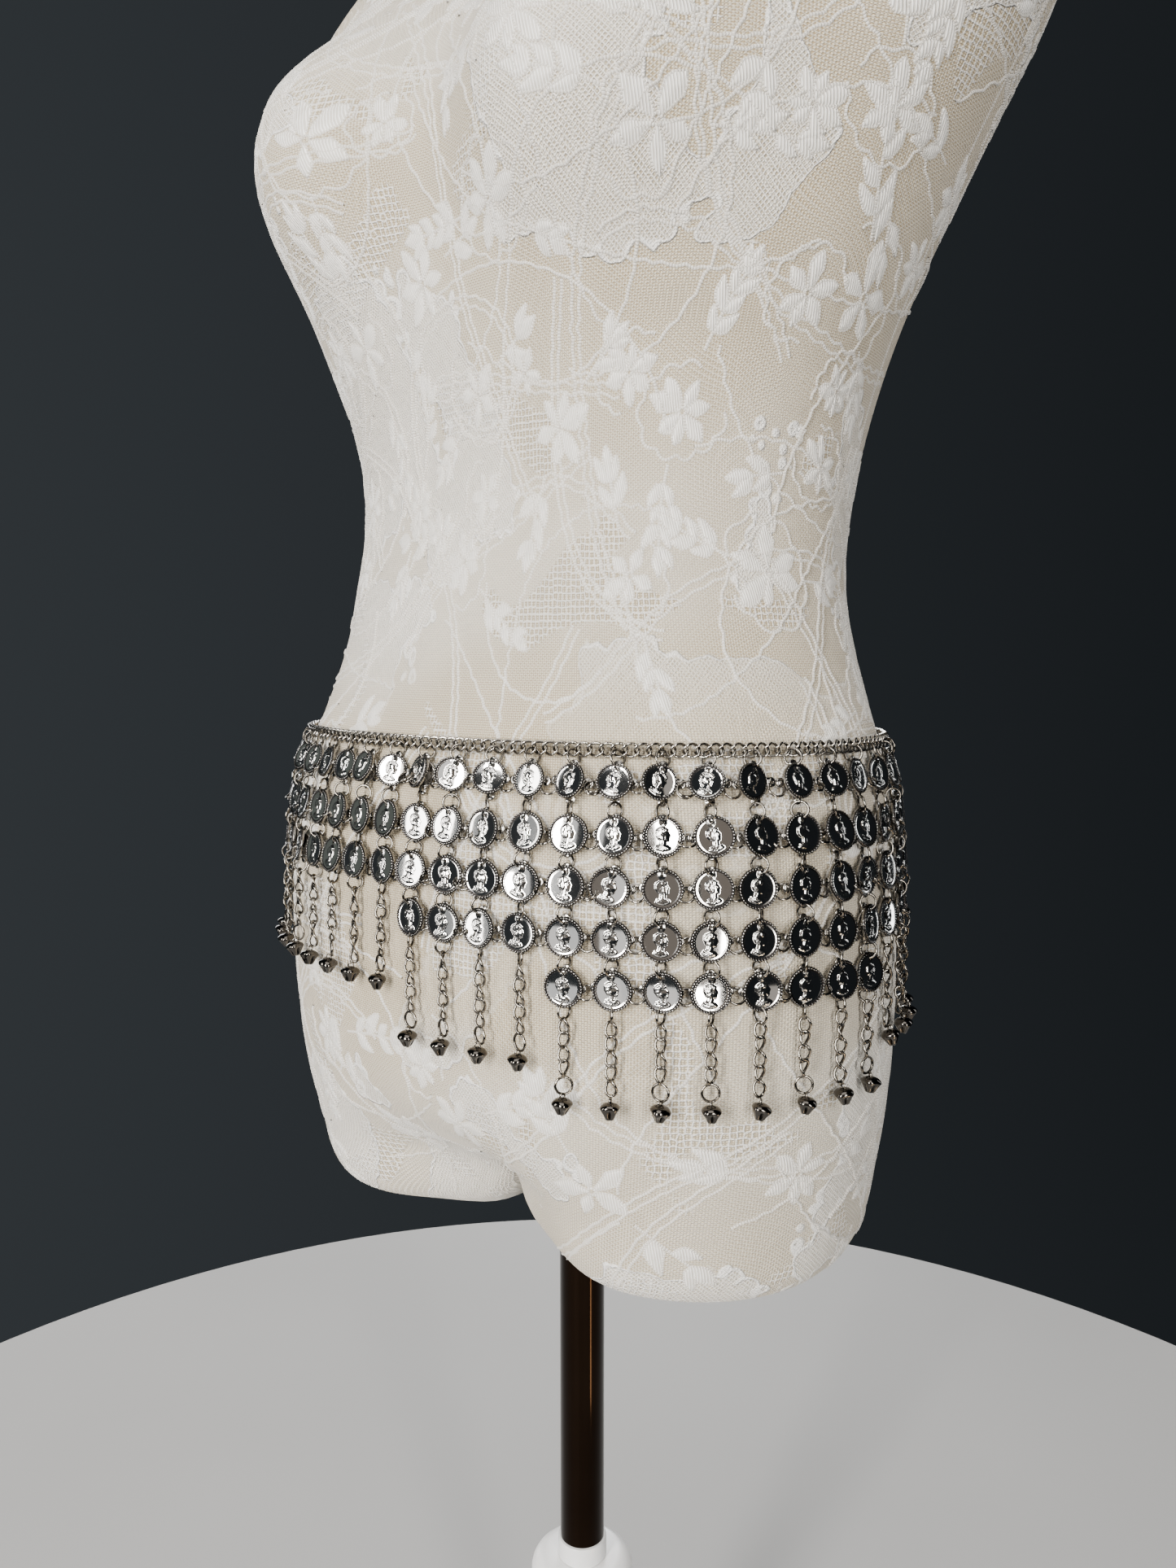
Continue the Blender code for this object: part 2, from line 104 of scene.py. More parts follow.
# Net. Its columns are the part's; coins, rows and bells follow the photo more closely
NET_CENTRE_FORWARD = 0.076
COLUMN_PITCH = 0.0181
ROWS_OF_COLUMNS = (3,) * 8 + (4,) * 4 + (5,) * 8 + (4,) * 4 + (3,) * 8
TOP_COIN_RADIUS = 0.0072
COIN_RADIUS = 0.0081
FIRST_COIN = 0.0146
SECOND_COIN = 0.0348
ROW_PITCH = 0.0194
FORM_CLEARANCE = 0.0009
CLASP_HALF_HEIGHT = 0.0034
CLASP_LENGTH = 0.0130
END_RING_RADIUS = 0.0036
CHAIN_SAG = 0.0011
# Distance of the bell down a column, by the column's rows of coins
BELL_TRAVEL = {3: 0.1029, 4: 0.1238, 5: 0.1387}
PATH_STEP = 0.0025
PATH_DROP = 0.190
RAY_START = 0.15
SLOPE_REACH = 0.004

# Fine metalwork
RING_RADIUS = 0.0033
RING_WIRE = 0.00054
CONNECTOR_THICKNESS = 0.0008
LOBE_OFFSET = 0.0067
LOBE_RADIUS = 0.0021
LOBE_HOLE = 0.00075
LINK_PITCH = 0.0049
DANGLE_LINK_PITCH = 0.0054
LARGE_RING_RADIUS = 0.0034
# How far each kind of piece stands off the form
PLATE_OUT = 0.0004
SIDE_RING_OUT = 0.0008
COIN_OUT = 0.0018
DANGLE_RING_OUT = 0.0020
RING_OUT = 0.0022
DANGLE_LINK_OUT = 0.0024
LARGE_RING_OUT = 0.0026
BELL_LOOP_OUT = 0.0042
BELL_OUT = 0.0046
WAIST_LINK_OUT = 0.0009
SMALL_LOOP_OUT = 0.0012
CLASP_OUT = 0.0016
# Heights over a bell's middle of its loop and of the chain's end, and the large ring's share of the chain
BELL_LOOP_RISE = 0.0034
BELL_TOP_RISE = 0.0043
LARGE_RING_SPAN = 0.0062

FLOOR_RADIUS = 0.75
# Camera: azimuth and pitch in degrees, then distance, height and shift to its right
CAMERA_AZIMUTH = 39.2
CAMERA_PITCH = 6.0
CAMERA_DISTANCE = 0.575
CAMERA_HEIGHT = 0.653
CAMERA_ASIDE = 0.003
SENSOR = 36.0
FOCAL_PIXELS = 1450
PICTURE_HEIGHT = 1927
# The dark backdrop, from the form's left in the picture to its right, and how far to each side it changes
BACKDROP = ((0.0345, 0.0395, 0.0440), (0.0125, 0.0148, 0.0170))
BACKDROP_SPREAD = 0.45
# Name, azimuth, distance, height, width, tallness, power, colour
LIGHTS = (
    ("front panel", -30.0, 2.0, 0.9, 0.36, 1.7, 25.0, (1.0, 0.975, 0.94)),
    ("second panel", 8.0, 2.0, 1.0, 0.34, 1.3, 76.0, (1.0, 0.97, 0.92)),
    ("third panel", 58.0, 2.0, 0.9, 0.28, 1.5, 38.0, (1.0, 0.97, 0.92)),
    ("top panel", 30.0, 0.9, 2.4, 1.4, 1.4, 18.0, (1.0, 0.98, 0.95)),
    ("side strip", 146.0, 1.9, 1.0, 0.12, 1.6, 5.0, (0.96, 0.98, 1.0)),
    ("back panel", 215.0, 2.2, 1.3, 0.8, 1.6, 58.0, (0.98, 0.99, 1.0)),
    ("far panel", -105.0, 2.2, 1.1, 0.4, 1.6, 14.0, (0.97, 0.98, 1.0)),
    ("front halo", -30.0, 2.3, 0.9, 0.80, 2.0, 2.6, (0.97, 0.99, 1.0)),
    ("second halo", 9.0, 2.3, 0.9, 0.86, 2.0, 5.2, (0.98, 0.99, 1.0)),
    ("third halo", 62.0, 2.3, 0.9, 0.70, 2.0, 2.2, (1.0, 0.93, 0.86)),
    ("middle wall", 30.0, 3.4, 0.8, 2.6, 2.4, 4.2, (1.0, 0.85, 0.72)),
    ("left wall", -66.0, 3.2, 0.8, 1.2, 2.2, 0.9, (0.90, 1.0, 0.88)),
)
# A low strip that only shows as the streak on the pole
LOW_STRIP = ("low strip", 84.0, 0.45, 0.13, 0.03, 0.25, 0.5, (1.0, 0.74, 0.45))

rng = random.Random(11)


def superellipse(angle, half_width, front, back, power):
    """A point of a closed outline. Angle 0 is the front centre, a quarter turn the left side."""
    across = math.sin(angle)
    along = -math.cos(angle)
    depth = front if along < 0 else back
    x = half_width * math.copysign(abs(across) ** (2 / power), across)
    y = depth * math.copysign(abs(along) ** (2 / power), along)
    return x, y


def bump(shape, x, height):
    """A rounded swelling on each side of the middle, or one crease along it."""
    centre, above, below, side, width, depth, roundness = shape
    spread = above if height > centre else below
    away = ((height - centre) / spread) ** 2 + ((abs(x) - side) / width) ** 2
    return depth * math.exp(-(away**roundness))


def form_point(angle, row):
    height, half_width, lean, front, back, power = row
    x, y = superellipse(angle, half_width, front, back, power)
    y += lean
    facing = -math.cos(angle)
    if facing < 0:
        y += facing * (bump(BUST, x, height) - bump(FRONT_CREASE, x, height))
    else:
        y += facing * (bump(SEAT, x, height) - bump(BACK_CREASE, x, height))
    return Vector((x, y, CHAIN_Z + height))


def wall(rows, steps, closed=False, flip=False):
    """Faces between rows of points that each go round."""
    faces = []
    for j in range(rows if closed else rows - 1):
        a, b = j * steps, (j + 1) % rows * steps
        for i in range(steps):
            k = (i + 1) % steps
            faces.append((a + i, a + k, b + k, b + i) if flip else (a + i, b + i, b + k, a + k))
    return faces


def form_cage():
    """Corner points and faces of the form: rings from the thighs to the neck, and two thigh stubs."""
    verts = [form_point(math.tau * i / AROUND, row) for row in FORM_RINGS for i in range(AROUND)]
    faces = wall(len(FORM_RINGS), AROUND, flip=True)
    faces.append(tuple(range(len(verts) - AROUND, len(verts))))

    half = AROUND // 2
    front, back = verts[0], verts[half]
    bridge = []
    for i in range(1, BRIDGE_STEPS):
        share = i / BRIDGE_STEPS
        point = front.lerp(back, share)
        point.z += CROTCH_RISE * math.sin(math.pi * share)
        bridge.append(len(verts))
        verts.append(point)
    lowest = list(range(AROUND))
    left = lowest[: half + 1] + bridge[::-1]
    right = lowest[half:] + lowest[:1] + bridge
    for loop in (left, right):
        corners = [verts[i] for i in loop]
        centre = sum(corners, Vector()) / len(corners)
        upper = loop
        for height, scale in THIGH_RINGS:
            lower = []
            for corner in corners:
                point = centre.lerp(corner, scale)
                point.z = CHAIN_Z + height
                lower.append(len(verts))
                verts.append(point)
            for i in range(len(loop)):
                j = (i + 1) % len(loop)
                faces.append((lower[i], lower[j], upper[j], upper[i]))
            upper = lower
        faces.append(tuple(upper[::-1]))
    return verts, faces


def guide_table():
    """Places round the hips' guide outline, from the front centre, and the running length at each."""
    turns = [math.tau * i / GUIDE_STEPS for i in range(GUIDE_STEPS + 1)]
    points = [Vector((*superellipse(turn, *GUIDE), 0.0)) for turn in turns]
    lengths = [0.0]
    for a, b in zip(points, points[1:]):
        lengths.append(lengths[-1] + (b - a).length)
    return points, lengths


def guide_at(table, length):
    """Place, direction along the outline and outward normal at a running length."""
    points, lengths = table
    length %= lengths[-1]
    high = bisect.bisect_right(lengths, length)
    low = high - 1
    share = (length - lengths[low]) / (lengths[high] - lengths[low])
    place = points[low].lerp(points[high], share)
    before = points[(low - 3) % GUIDE_STEPS]
    after = points[(high + 3) % GUIDE_STEPS]
    along = (after - before).normalized()
    return place, along, Vector((along.y, -along.x, 0.0))


def surface_offset(tree, place, outward, height):
    """How far the form's skin lies outside the guide outline at a height above the waist chain."""
    start = place + outward * RAY_START
    start.z = CHAIN_Z + height
    hit = tree.ray_cast(start, -outward)
    return RAY_START - hit[3]


def hanging_path(tree, place, outward):
    """Drop and offset pairs of a strand that starts at the waist chain: it lies on the form while the
    form swells, bridges hollows, and hangs straight down from the widest place."""
    count = int(PATH_DROP / PATH_STEP)
    profile = []
    for i in range(count):
        height = -i * PATH_STEP
        profile.append((height, surface_offset(tree, place, outward, height) + FORM_CLEARANCE))
    path = [profile[0]]
    at = 0
    while at < count - 1:
        z0, d0 = profile[at]
        slopes = [(profile[j][1] - d0) / (z0 - profile[j][0]) for j in range(at + 1, count)]
        steepest = max(slopes)
        if steepest <= 0:
            path.append((profile[-1][0], d0))
            break
        at += 1 + slopes.index(steepest)
        path.append(profile[at])
    return path


class Column:
    """One hanging column: where it lies round the hips, and the curve that it hangs in."""

    def __init__(self, tree, table, length):
        self.place, self.across, self.outward = guide_at(table, length)
        self.path = hanging_path(tree, self.place, self.outward)

    def point(self, travel):
        """The place at a distance down the column."""
        for (z0, d0), (z1, d1) in zip(self.path, self.path[1:]):
            step = math.hypot(z1 - z0, d1 - d0)
            if travel <= step or (z1, d1) == self.path[-1]:
                break
            travel -= step
        share = travel / step
        point = self.place + self.outward * (d0 + (d1 - d0) * share)
        point.z = CHAIN_Z + (z0 + (z1 - z0) * share)
        return point

    def matrix(self, travel, out):
        """A frame on the hanging curve: X runs across, Y up the column and Z away from the form."""
        before, after = self.point(max(travel - SLOPE_REACH, 0.0)), self.point(travel + SLOPE_REACH)
        down = (after - before).normalized()
        away = down.cross(self.across).normalized()
        place = self.point(travel) + away * out
        return frame_matrix(self.across, -down, away, place)


def frame_matrix(x_axis, y_axis, z_axis, place):
    matrix = Matrix((x_axis, y_axis, z_axis)).transposed().to_4x4()
    matrix.translation = place
    return matrix


def add_object(name, data):
    obj = bpy.data.objects.new(name, data)
    bpy.context.scene.collection.objects.link(obj)
    return obj


class Pieces:
    """Gathers many small shapes into one mesh, with a material and a value of patina and painted shade for
    each.
    """

    def __init__(self):
        self.parts = []
        self.count = 0

    def add(self, shape, matrix=Matrix.Identity(4), slot=0):
        points, loops, sizes, patina_and_shade, discs = shape
        m = np.array(matrix)
        places = points @ m[:3, :3].T + m[:3, 3]
        self.parts.append((places, loops + self.count, sizes, np.full(len(sizes), slot), patina_and_shade, discs))
        self.count += len(points)

    def build(self, name, *materials):
        places, loops, sizes, slots, patina_and_shade, discs = (np.concatenate(part) for part in zip(*self.parts))
        mesh = bpy.data.meshes.new(name)
        mesh.vertices.add(len(places))
        mesh.vertices.foreach_set("co", places.astype(np.float32).ravel())
        mesh.loops.add(len(loops))
        mesh.loops.foreach_set("vertex_index", loops.astype(np.int32))
        mesh.polygons.add(len(sizes))
        starts = np.cumsum(sizes) - sizes
        mesh.polygons.foreach_set("loop_start", starts.astype(np.int32))
        mesh.polygons.foreach_set("material_index", slots.astype(np.int32))
        mesh.polygons.foreach_set("use_smooth", np.ones(len(sizes), dtype=bool))
        mesh.update(calc_edges=True)
        # Patina in the coins' hollows, and painted shade on the rings' inner sides and in the bells' slits
        layer = mesh.attributes.new("patina_and_shade", "FLOAT", "POINT")
        layer.data.foreach_set("value", patina_and_shade.astype(np.float32))
        layer = mesh.attributes.new("disc", "FLOAT_VECTOR", "POINT")
        layer.data.foreach_set("vector", discs.astype(np.float32).ravel())
        mesh.validate()
        for material in materials:
            mesh.materials.append(material)
        return add_object(name, mesh)


def shape_of(points, faces, patina_and_shade=0.0, discs=None):
    """Points, corner indices and corner counts as arrays, with the patina and painted shade and the disc
    place of each point.
    """
    loops = np.array([i for face in faces for i in face], dtype=np.int64)
    sizes = np.array([len(face) for face in faces], dtype=np.int64)
    points = np.array(points, dtype=float)
    values = np.full(len(points), patina_and_shade) if np.isscalar(patina_and_shade) else np.array(patina_and_shade)
    if discs is None:
        discs = np.zeros((len(points), 3))
    return points, loops, sizes, values, discs


def polar(reach, turn, x=0.0, y=0.0):
    """The place at a distance and direction from x and y."""
    return x + reach * math.cos(turn), y + reach * math.sin(turn)


def circle_points(radius, count, cx=0.0, cy=0.0, phase=0.0):
    return [polar(radius, math.tau * (i + phase) / count, cx, cy) for i in range(count)]


def ring_tube(centres, radius, sides):
    """A closed wire through points that go round the origin. Its inner side, towards the ring's middle, is
    darker as a painted shade.
    """
    centres = np.array(centres, dtype=float)
    tangents = np.roll(centres, -1, axis=0) - np.roll(centres, 1, axis=0)
    tangents /= np.linalg.norm(tangents, axis=1)[:, None]
    outward = centres - (centres * tangents).sum(1)[:, None] * tangents
    outward /= np.linalg.norm(outward, axis=1)[:, None]
    side = np.cross(tangents, outward)
    points = []
    values = []
    for i, centre in enumerate(centres):
        for j in range(sides):
            turn = math.tau * j / sides
            points.append(centre + radius * (math.cos(turn) * outward[i] + math.sin(turn) * side[i]))
            # Painted shade: the wire is darker on the side that faces the ring's middle
            values.append(0.75 * max(0.0, -math.cos(turn)))
    return shape_of(points, wall(len(centres), sides, closed=True), values)


def jump_ring(radius, wire, steps=18, sides=6):
    """A round ring in the XY plane."""
    return ring_tube([(x, y, 0.0) for x, y in circle_points(radius, steps)], wire, sides)


def curb_link(half_length, half_width, wire, twist, steps=20, sides=6):
    """An oval link along Y whose two ends are twisted opposite ways, so that a chain of them lies flat."""
    centres = []
    for i in range(steps):
        turn = math.tau * i / steps
        y = half_length * math.cos(turn)
        across = half_width * math.copysign(abs(math.sin(turn)) ** 0.85, math.sin(turn))
        angle = twist * math.cos(turn)
        centres.append((across * math.cos(angle), y, across * math.sin(angle)))
    return ring_tube(centres, wire, sides)


def dome(x, y, cx, cy, rx, ry, turn=0.0):
    """Height of a rounded dome, from 0 at its edge to 1."""
    c, s = math.cos(turn), math.sin(turn)
    u = ((x - cx) * c + (y - cy) * s) / rx
    v = (-(x - cx) * s + (y - cy) * c) / ry
    return np.sqrt(np.clip(1.0 - u * u - v * v, 0.0, 1.0))


def capsule(x, y, x0, y0, x1, y1, radius):
    """Height of a rounded bar between two points."""
    dx, dy = x1 - x0, y1 - y0
    share = np.clip(((x - x0) * dx + (y - y0) * dy) / (dx * dx + dy * dy), 0.0, 1.0)
    away = np.hypot(x - x0 - share * dx, y - y0 - share * dy) / radius
    return np.sqrt(np.clip(1.0 - away * away, 0.0, 1.0))


# A plain classical head of our own, in shares of the coin's radius. The domes of the face and shoulders:
# centre x, centre y, half width, half height, relief
HEAD_DOMES = (
    (0.075, 0.030, 0.190, 0.250, 0.085),
    (0.180, 0.130, 0.080, 0.075, 0.070),
    (0.245, 0.045, 0.062, 0.050, 0.062),
    (0.215, 0.085, 0.055, 0.060, 0.062),
    (0.222, -0.045, 0.045, 0.028, 0.060),
    (0.212, -0.088, 0.042, 0.026, 0.058),
    (0.178, -0.160, 0.072, 0.058, 0.064),
    (0.080, -0.095, 0.160, 0.125, 0.078),
    (0.030, 0.020, 0.040, 0.062, 0.098),
    (-0.020, -0.560, 0.400, 0.150, 0.075),
    (0.100, -0.500, 0.180, 0.090, 0.085),
)
# The bars of the neck and drape: both ends, half width, relief
HEAD_BARS = (
    (0.010, -0.100, -0.040, -0.420, 0.130, 0.075),
    (0.060, -0.120, 0.030, -0.400, 0.070, 0.070),
    (-0.30, -0.44, 0.12, -0.60, 0.030, 0.100),
    (-0.20, -0.40, 0.22, -0.56, 0.030, 0.100),
    (-0.36, -0.54, -0.02, -0.66, 0.030, 0.100),
)
HELMET = (-0.030, 0.185, 0.290, 0.235)
CHEEK_GUARD = (-0.300, 0.080, -0.230, -0.180, 0.075)
HAIR = (-0.045, 0.130, 0.270, 0.270)
# Rings of curls about the hair's middle: distance, count, radius
CURLS = ((0.235, 13, 0.062), (0.140, 8, 0.058), (0.045, 4, 0.050))
EYE = (0.155, 0.075, 0.034, 0.018)
HOLE = (0.0, 0.665, 0.095)
# The raised ring round the hole, the ring of points outside it and the edge of its plain field
EYELET = 0.135
EYELET_FOOT = 0.180
EYELET_EDGE = 0.20
COIN_THICKNESS = 0.125
# Beads of a coin with a bare head and of one with a helmet, the beads' distance from the middle, their
# reach to each side and along the rim
BEADS = (40, 36)
BEAD_PLACE = 0.920
BEAD_REACH = 0.066
BEAD_WIDTH = 0.058
# Circles of points under the rim: distance from the middle, and turn in shares of a step
RIM_CIRCLES = ((BEAD_PLACE, 0.0), (0.885, 0.0), (0.858, 0.5), (0.826, 0.0), (0.800, 0.5), (0.772, 0.0))


def head_relief(x, y, helmet):
    """Relief of the coin's head, in shares of its radius."""
    layers = [relief * dome(x, y, *shape) for *shape, relief in HEAD_DOMES]
    layers += [relief * capsule(x, y, *shape) for *shape, relief in HEAD_BARS]
    if helmet:
        layers += [0.105 * dome(x, y, *HELMET), 0.090 * capsule(x, y, *CHEEK_GUARD)]
        for i in range(15):
            turn = math.radians(25 + 12 * i)
            cx, cy = -0.030 + 0.315 * math.cos(turn), 0.165 + 0.290 * math.sin(turn)
            layers.append(0.115 * dome(x, y, cx, cy, 0.055, 0.036, turn))
        height = np.maximum.reduce(layers)
    else:
        height = np.maximum.reduce(layers + [0.085 * dome(x, y, *HAIR)])
        for ring, count, radius in CURLS:
            for i in range(count):
                turn = math.radians(38 + 230 * i / (count - 1)) + 0.2 * ring
                cx, cy = polar(1.02 * ring, turn, *HAIR[:2])
                curl = dome(x, y, cx, cy, radius, radius)
                pit = dome(x, y, cx + 0.012, cy - 0.006, 0.022, 0.022)
                height = np.maximum(height, (0.085 + 0.035 * curl) * (curl > 0)) - 0.022 * pit
        for i in range(9):
            turn = math.radians(20 + 20 * i)
            cx, cy = HAIR[0] + 0.200 * math.cos(turn), 0.150 + 0.180 * math.sin(turn)
            height = np.maximum(height, 0.128 * dome(x, y, cx, cy, 0.050, 0.020, turn + 1.2))
    return height - 0.018 * dome(x, y, *EYE) * (height > 0.04)


def coin_height(x, y, helmet):
    """Height of the coin's front over its field, in shares of its radius."""
    r = np.hypot(x, y)
    phase = np.arctan2(y, x) * BEADS[helmet] / math.tau
    along = (phase - np.round(phase)) * math.tau * BEAD_PLACE / BEADS[helmet]
    reach = 1.0 - (along / BEAD_WIDTH) ** 2 - ((r - BEAD_PLACE) / BEAD_REACH) ** 2
    bead = np.sqrt(np.clip(reach, 0.0, 1.0))
    lip = np.clip(1.0 - np.abs(r - 0.800) / 0.028, 0.0, 1.0)
    height = 0.015 + 0.030 * r * r + 0.016 * np.minimum(lip * 1.6, 1.0) + 0.062 * bead
    height = np.where(r < 0.77, np.maximum(height, head_relief(x, y, helmet)), height)
    away = np.hypot(x - HOLE[0], y - HOLE[1])
    eyelet = np.clip(1.0 - ((away - EYELET) / 0.045) ** 2, 0.0, 1.0)
    return np.where(away < EYELET_EDGE, np.minimum(height, 0.045) + 0.050 * np.sqrt(eyelet), height)


def hexagon_points(limit, spacing):
    points = []
    rows = int(limit / (spacing * 0.866)) + 1
    for j in range(-rows, rows + 1):
        for i in range(-rows, rows + 1):
            x = (i + 0.5 * (j % 2)) * spacing
            y = j * spacing * 0.866
            if math.hypot(x, y) < limit:
                points.append((x, y))
    return points


def inside_loop(x, y, loop):
    inside = False
    for (x0, y0), (x1, y1) in zip(loop, loop[1:] + loop[:1]):
        if (y0 > y) != (y1 > y) and x < x0 + (y - y0) * (x1 - x0) / (y1 - y0):
            inside = not inside
    return inside


def in_hole(x, y, rim):
    cx, cy = (sum(point[axis] for point in rim) / len(rim) for axis in (0, 1))
    return math.hypot(x - cx, y - cy) < math.hypot(rim[0][0] - cx, rim[0][1] - cy) * 0.985


def flat_mesh(points, loops):
    """Triangles over flat points. The first loop is the outer edge and the others are round holes."""
    edges = []
    rims = []
    at = 0
    for count in loops:
        edges += [(at + i, at + (i + 1) % count) for i in range(count)]
        rims.append(points[at : at + count])
        at += count
    result = delaunay_2d_cdt([Vector(p) for p in points], edges, [], 0, 1e-7)
    verts, faces = result[0], result[2]
    kept = []
    for face in faces:
        cx, cy = (sum(verts[i][axis] for i in face) / 3 for axis in (0, 1))
        if inside_loop(cx, cy, rims[0]) and not any(in_hole(cx, cy, rim) for rim in rims[1:]):
            kept.append(tuple(face))
    return [(v[0], v[1]) for v in verts], kept


def plate_sides(loops, back):
    """The walls of a flat plate along its loops. The points of its back start at the given number."""
    faces = []
    at = 0
    for count in loops:
        for i in range(count):
            a, b = at + i, at + (i + 1) % count
            faces.append((b, a, back + a, back + b))
        at += count
    return faces


def coin_shape(radius, helmet):
    """A coin with a beaded rim, a head in relief and a hole near its top. Its back lies in the XY plane."""
    beads = BEADS[helmet]
    hole_x, hole_y, hole_radius = HOLE
    outer = circle_points(1.0, beads * 2)
    outer = [(x * 0.955, y * 0.955) if i % 2 else (x, y) for i, (x, y) in enumerate(outer)]
    hole = circle_points(hole_radius, 12, hole_x, hole_y)
    spread = circle_points(0.968, beads)
    for share, phase in RIM_CIRCLES:
        spread += circle_points(share, beads * 2, phase=phase)

    def clear(points):
        return [(x, y) for x, y in points if math.hypot(x - hole_x, y - hole_y) > EYELET_EDGE]

    eyelet = circle_points(EYELET, 12, hole_x, hole_y) + circle_points(EYELET_FOOT, 14, hole_x, hole_y)
    inner = clear(spread) + eyelet + clear(hexagon_points(0.745, 0.046))
    loops = (len(outer), len(hole))
    points, front = flat_mesh(outer + hole + inner, loops)
    x, y = np.array(points).T
    height = coin_height(x, y, helmet)
    around = sum(coin_height(x + dx, y + dy, helmet) for dx, dy in circle_points(0.045, 8)) / 8
    cavity = np.clip((around - height) * 26.0, 0.0, 1.0)
    relief = np.clip((height - 0.05) * 9.0, 0.0, 0.35) * (np.hypot(x, y) < 0.75)
    patina_and_shade = np.clip(cavity + 0.5 * relief, 0.0, 1.0)
    height = np.where(np.arange(len(x)) < len(outer), 0.004, height)
    top = [(px, py, COIN_THICKNESS + h) for px, py, h in zip(x, y, height)]
    back_points, back = flat_mesh(outer + hole, loops)
    bottom = [(px, py, 0.0) for px, py in back_points]
    faces = front + [tuple(len(top) + i for i in reversed(face)) for face in back]
    faces += plate_sides(loops, len(top))
    values = np.concatenate([patina_and_shade, np.full(len(bottom), 0.3)])
    discs = np.array([(px, py, beads) for px, py in points] + [(0.0, 0.0, beads)] * len(bottom))
    return shape_of(np.array(top + bottom) * radius, faces, values, discs)


def connector_shape():
    """A flat four-lobed link with a hole in each lobe. Its back lies in the XY plane."""
    outline = []
    steps = 72
    for i in range(steps):
        turn = math.tau * i / steps
        reach = 0.0056
        for lobe in range(4):
            away = turn - lobe * math.pi / 2
            side = LOBE_OFFSET * math.sin(away)
            if math.cos(away) > 0 and abs(side) < LOBE_RADIUS:
                reach = max(reach, LOBE_OFFSET * math.cos(away) + math.sqrt(LOBE_RADIUS**2 - side**2))
        outline.append(polar(reach, turn))
    loops = [steps] + [10] * 4
    holes = [circle_points(LOBE_HOLE, 10, cx, cy) for cx, cy in circle_points(LOBE_OFFSET, 4)]
    # Inner copies of the edges round the front's corners
    inner = [(0.94 * x, 0.94 * y) for x, y in outline]
    flat, faces = flat_mesh(outline + sum(holes, []) + inner, loops)
    edge = sum(loops)
    bevel = 0.00022
    front = [(x, y, CONNECTOR_THICKNESS - (bevel if i < edge else 0.0)) for i, (x, y) in enumerate(flat)]
    back = [(x, y, 0.0) for x, y in flat]
    faces += [tuple(len(flat) + i for i in reversed(face)) for face in faces]
    return shape_of(front + back, faces + plate_sides(loops, len(flat)), 0.25)


def capped_wall(rows, steps, flip=False):
    """Faces between rows of points, and a fan at each end about the two points after them."""
    faces = wall(rows, steps, flip=flip)
    top, last = rows * steps, (rows - 1) * steps
    bottom = top + 1
    for i in range(steps):
        k = (i + 1) % steps
        if flip:
            faces += [(top, k, i), (last + i, last + k, bottom)]
        else:
            faces += [(top, i, k), (last + i, bottom, last + k)]
    return faces


# Height above the bell's widest place, radius, how square, depth of the slits
BELL_PROFILE = (
    (0.00290, 0.00070, 0.00, 0.00),
    (0.00272, 0.00160, 0.00, 0.00),
    (0.00238, 0.00262, 0.00, 0.00),
    (0.00175, 0.00350, 0.02, 0.00),
    (0.00110, 0.00396, 0.04, 0.00),
    (0.00060, 0.00404, 0.05, 0.00),
    (0.00020, 0.00388, 0.07, 0.10),
    (-0.00080, 0.00318, 0.10, 0.50),
    (-0.00190, 0.00250, 0.12, 0.60),
    (-0.00300, 0.00196, 0.12, 0.60),
    (-0.00372, 0.00158, 0.08, 0.60),
    (-0.00385, 0.00080, 0.00, 0.30),
)


def bell_shape():
    """A small jingle bell with four claws and slits between them, along Y."""
    steps = 32
    points = []
    values = []
    for height, radius, square, slit in BELL_PROFILE:
        for i in range(steps):
            turn = math.tau * i / steps
            claw = abs(math.sin(2 * turn))
            cut = slit * math.exp(-((claw / 0.34) ** 2))
            reach = radius * (1 - square * math.cos(4 * turn)) * (1 - cut)
            points.append((reach * math.cos(turn), height, reach * math.sin(turn)))
            # Painted shade: darker in the dented slits, where the dark inside of the bell would show through
            values.append(min(1.0, cut * 1.8))
    points += [(0.0, BELL_PROFILE[0][0] + 0.0001, 0.0), (0.0, BELL_PROFILE[-1][0], 0.0)]
    # The bottom's middle point gets painted shade as well
    return shape_of(points, capped_wall(len(BELL_PROFILE), steps, flip=True), values + [0.2, 0.9])


def lathe(profile, steps=96):
    """A turned solid about Z. The profile runs from the axis at the top to the axis at the bottom."""
    rows = profile[1:-1]
    points = [(x, y, height) for radius, height in rows for x, y in circle_points(radius, steps)]
    points += [(0.0, 0.0, profile[0][1]), (0.0, 0.0, profile[-1][1])]
    return shape_of(points, capped_wall(len(rows), steps))


# Lace, by the distance round the form and the height above the waist chain
LACE_ROUND = 0.145
LACE_LOW = -0.222
LACE_HIGH = 0.350
# The plain belt that the net lies on
PLAIN_LOW = -0.135
PLAIN_HIGH = 0.055
THREAD = 0.00056
PETAL_LIFT = 0.00055


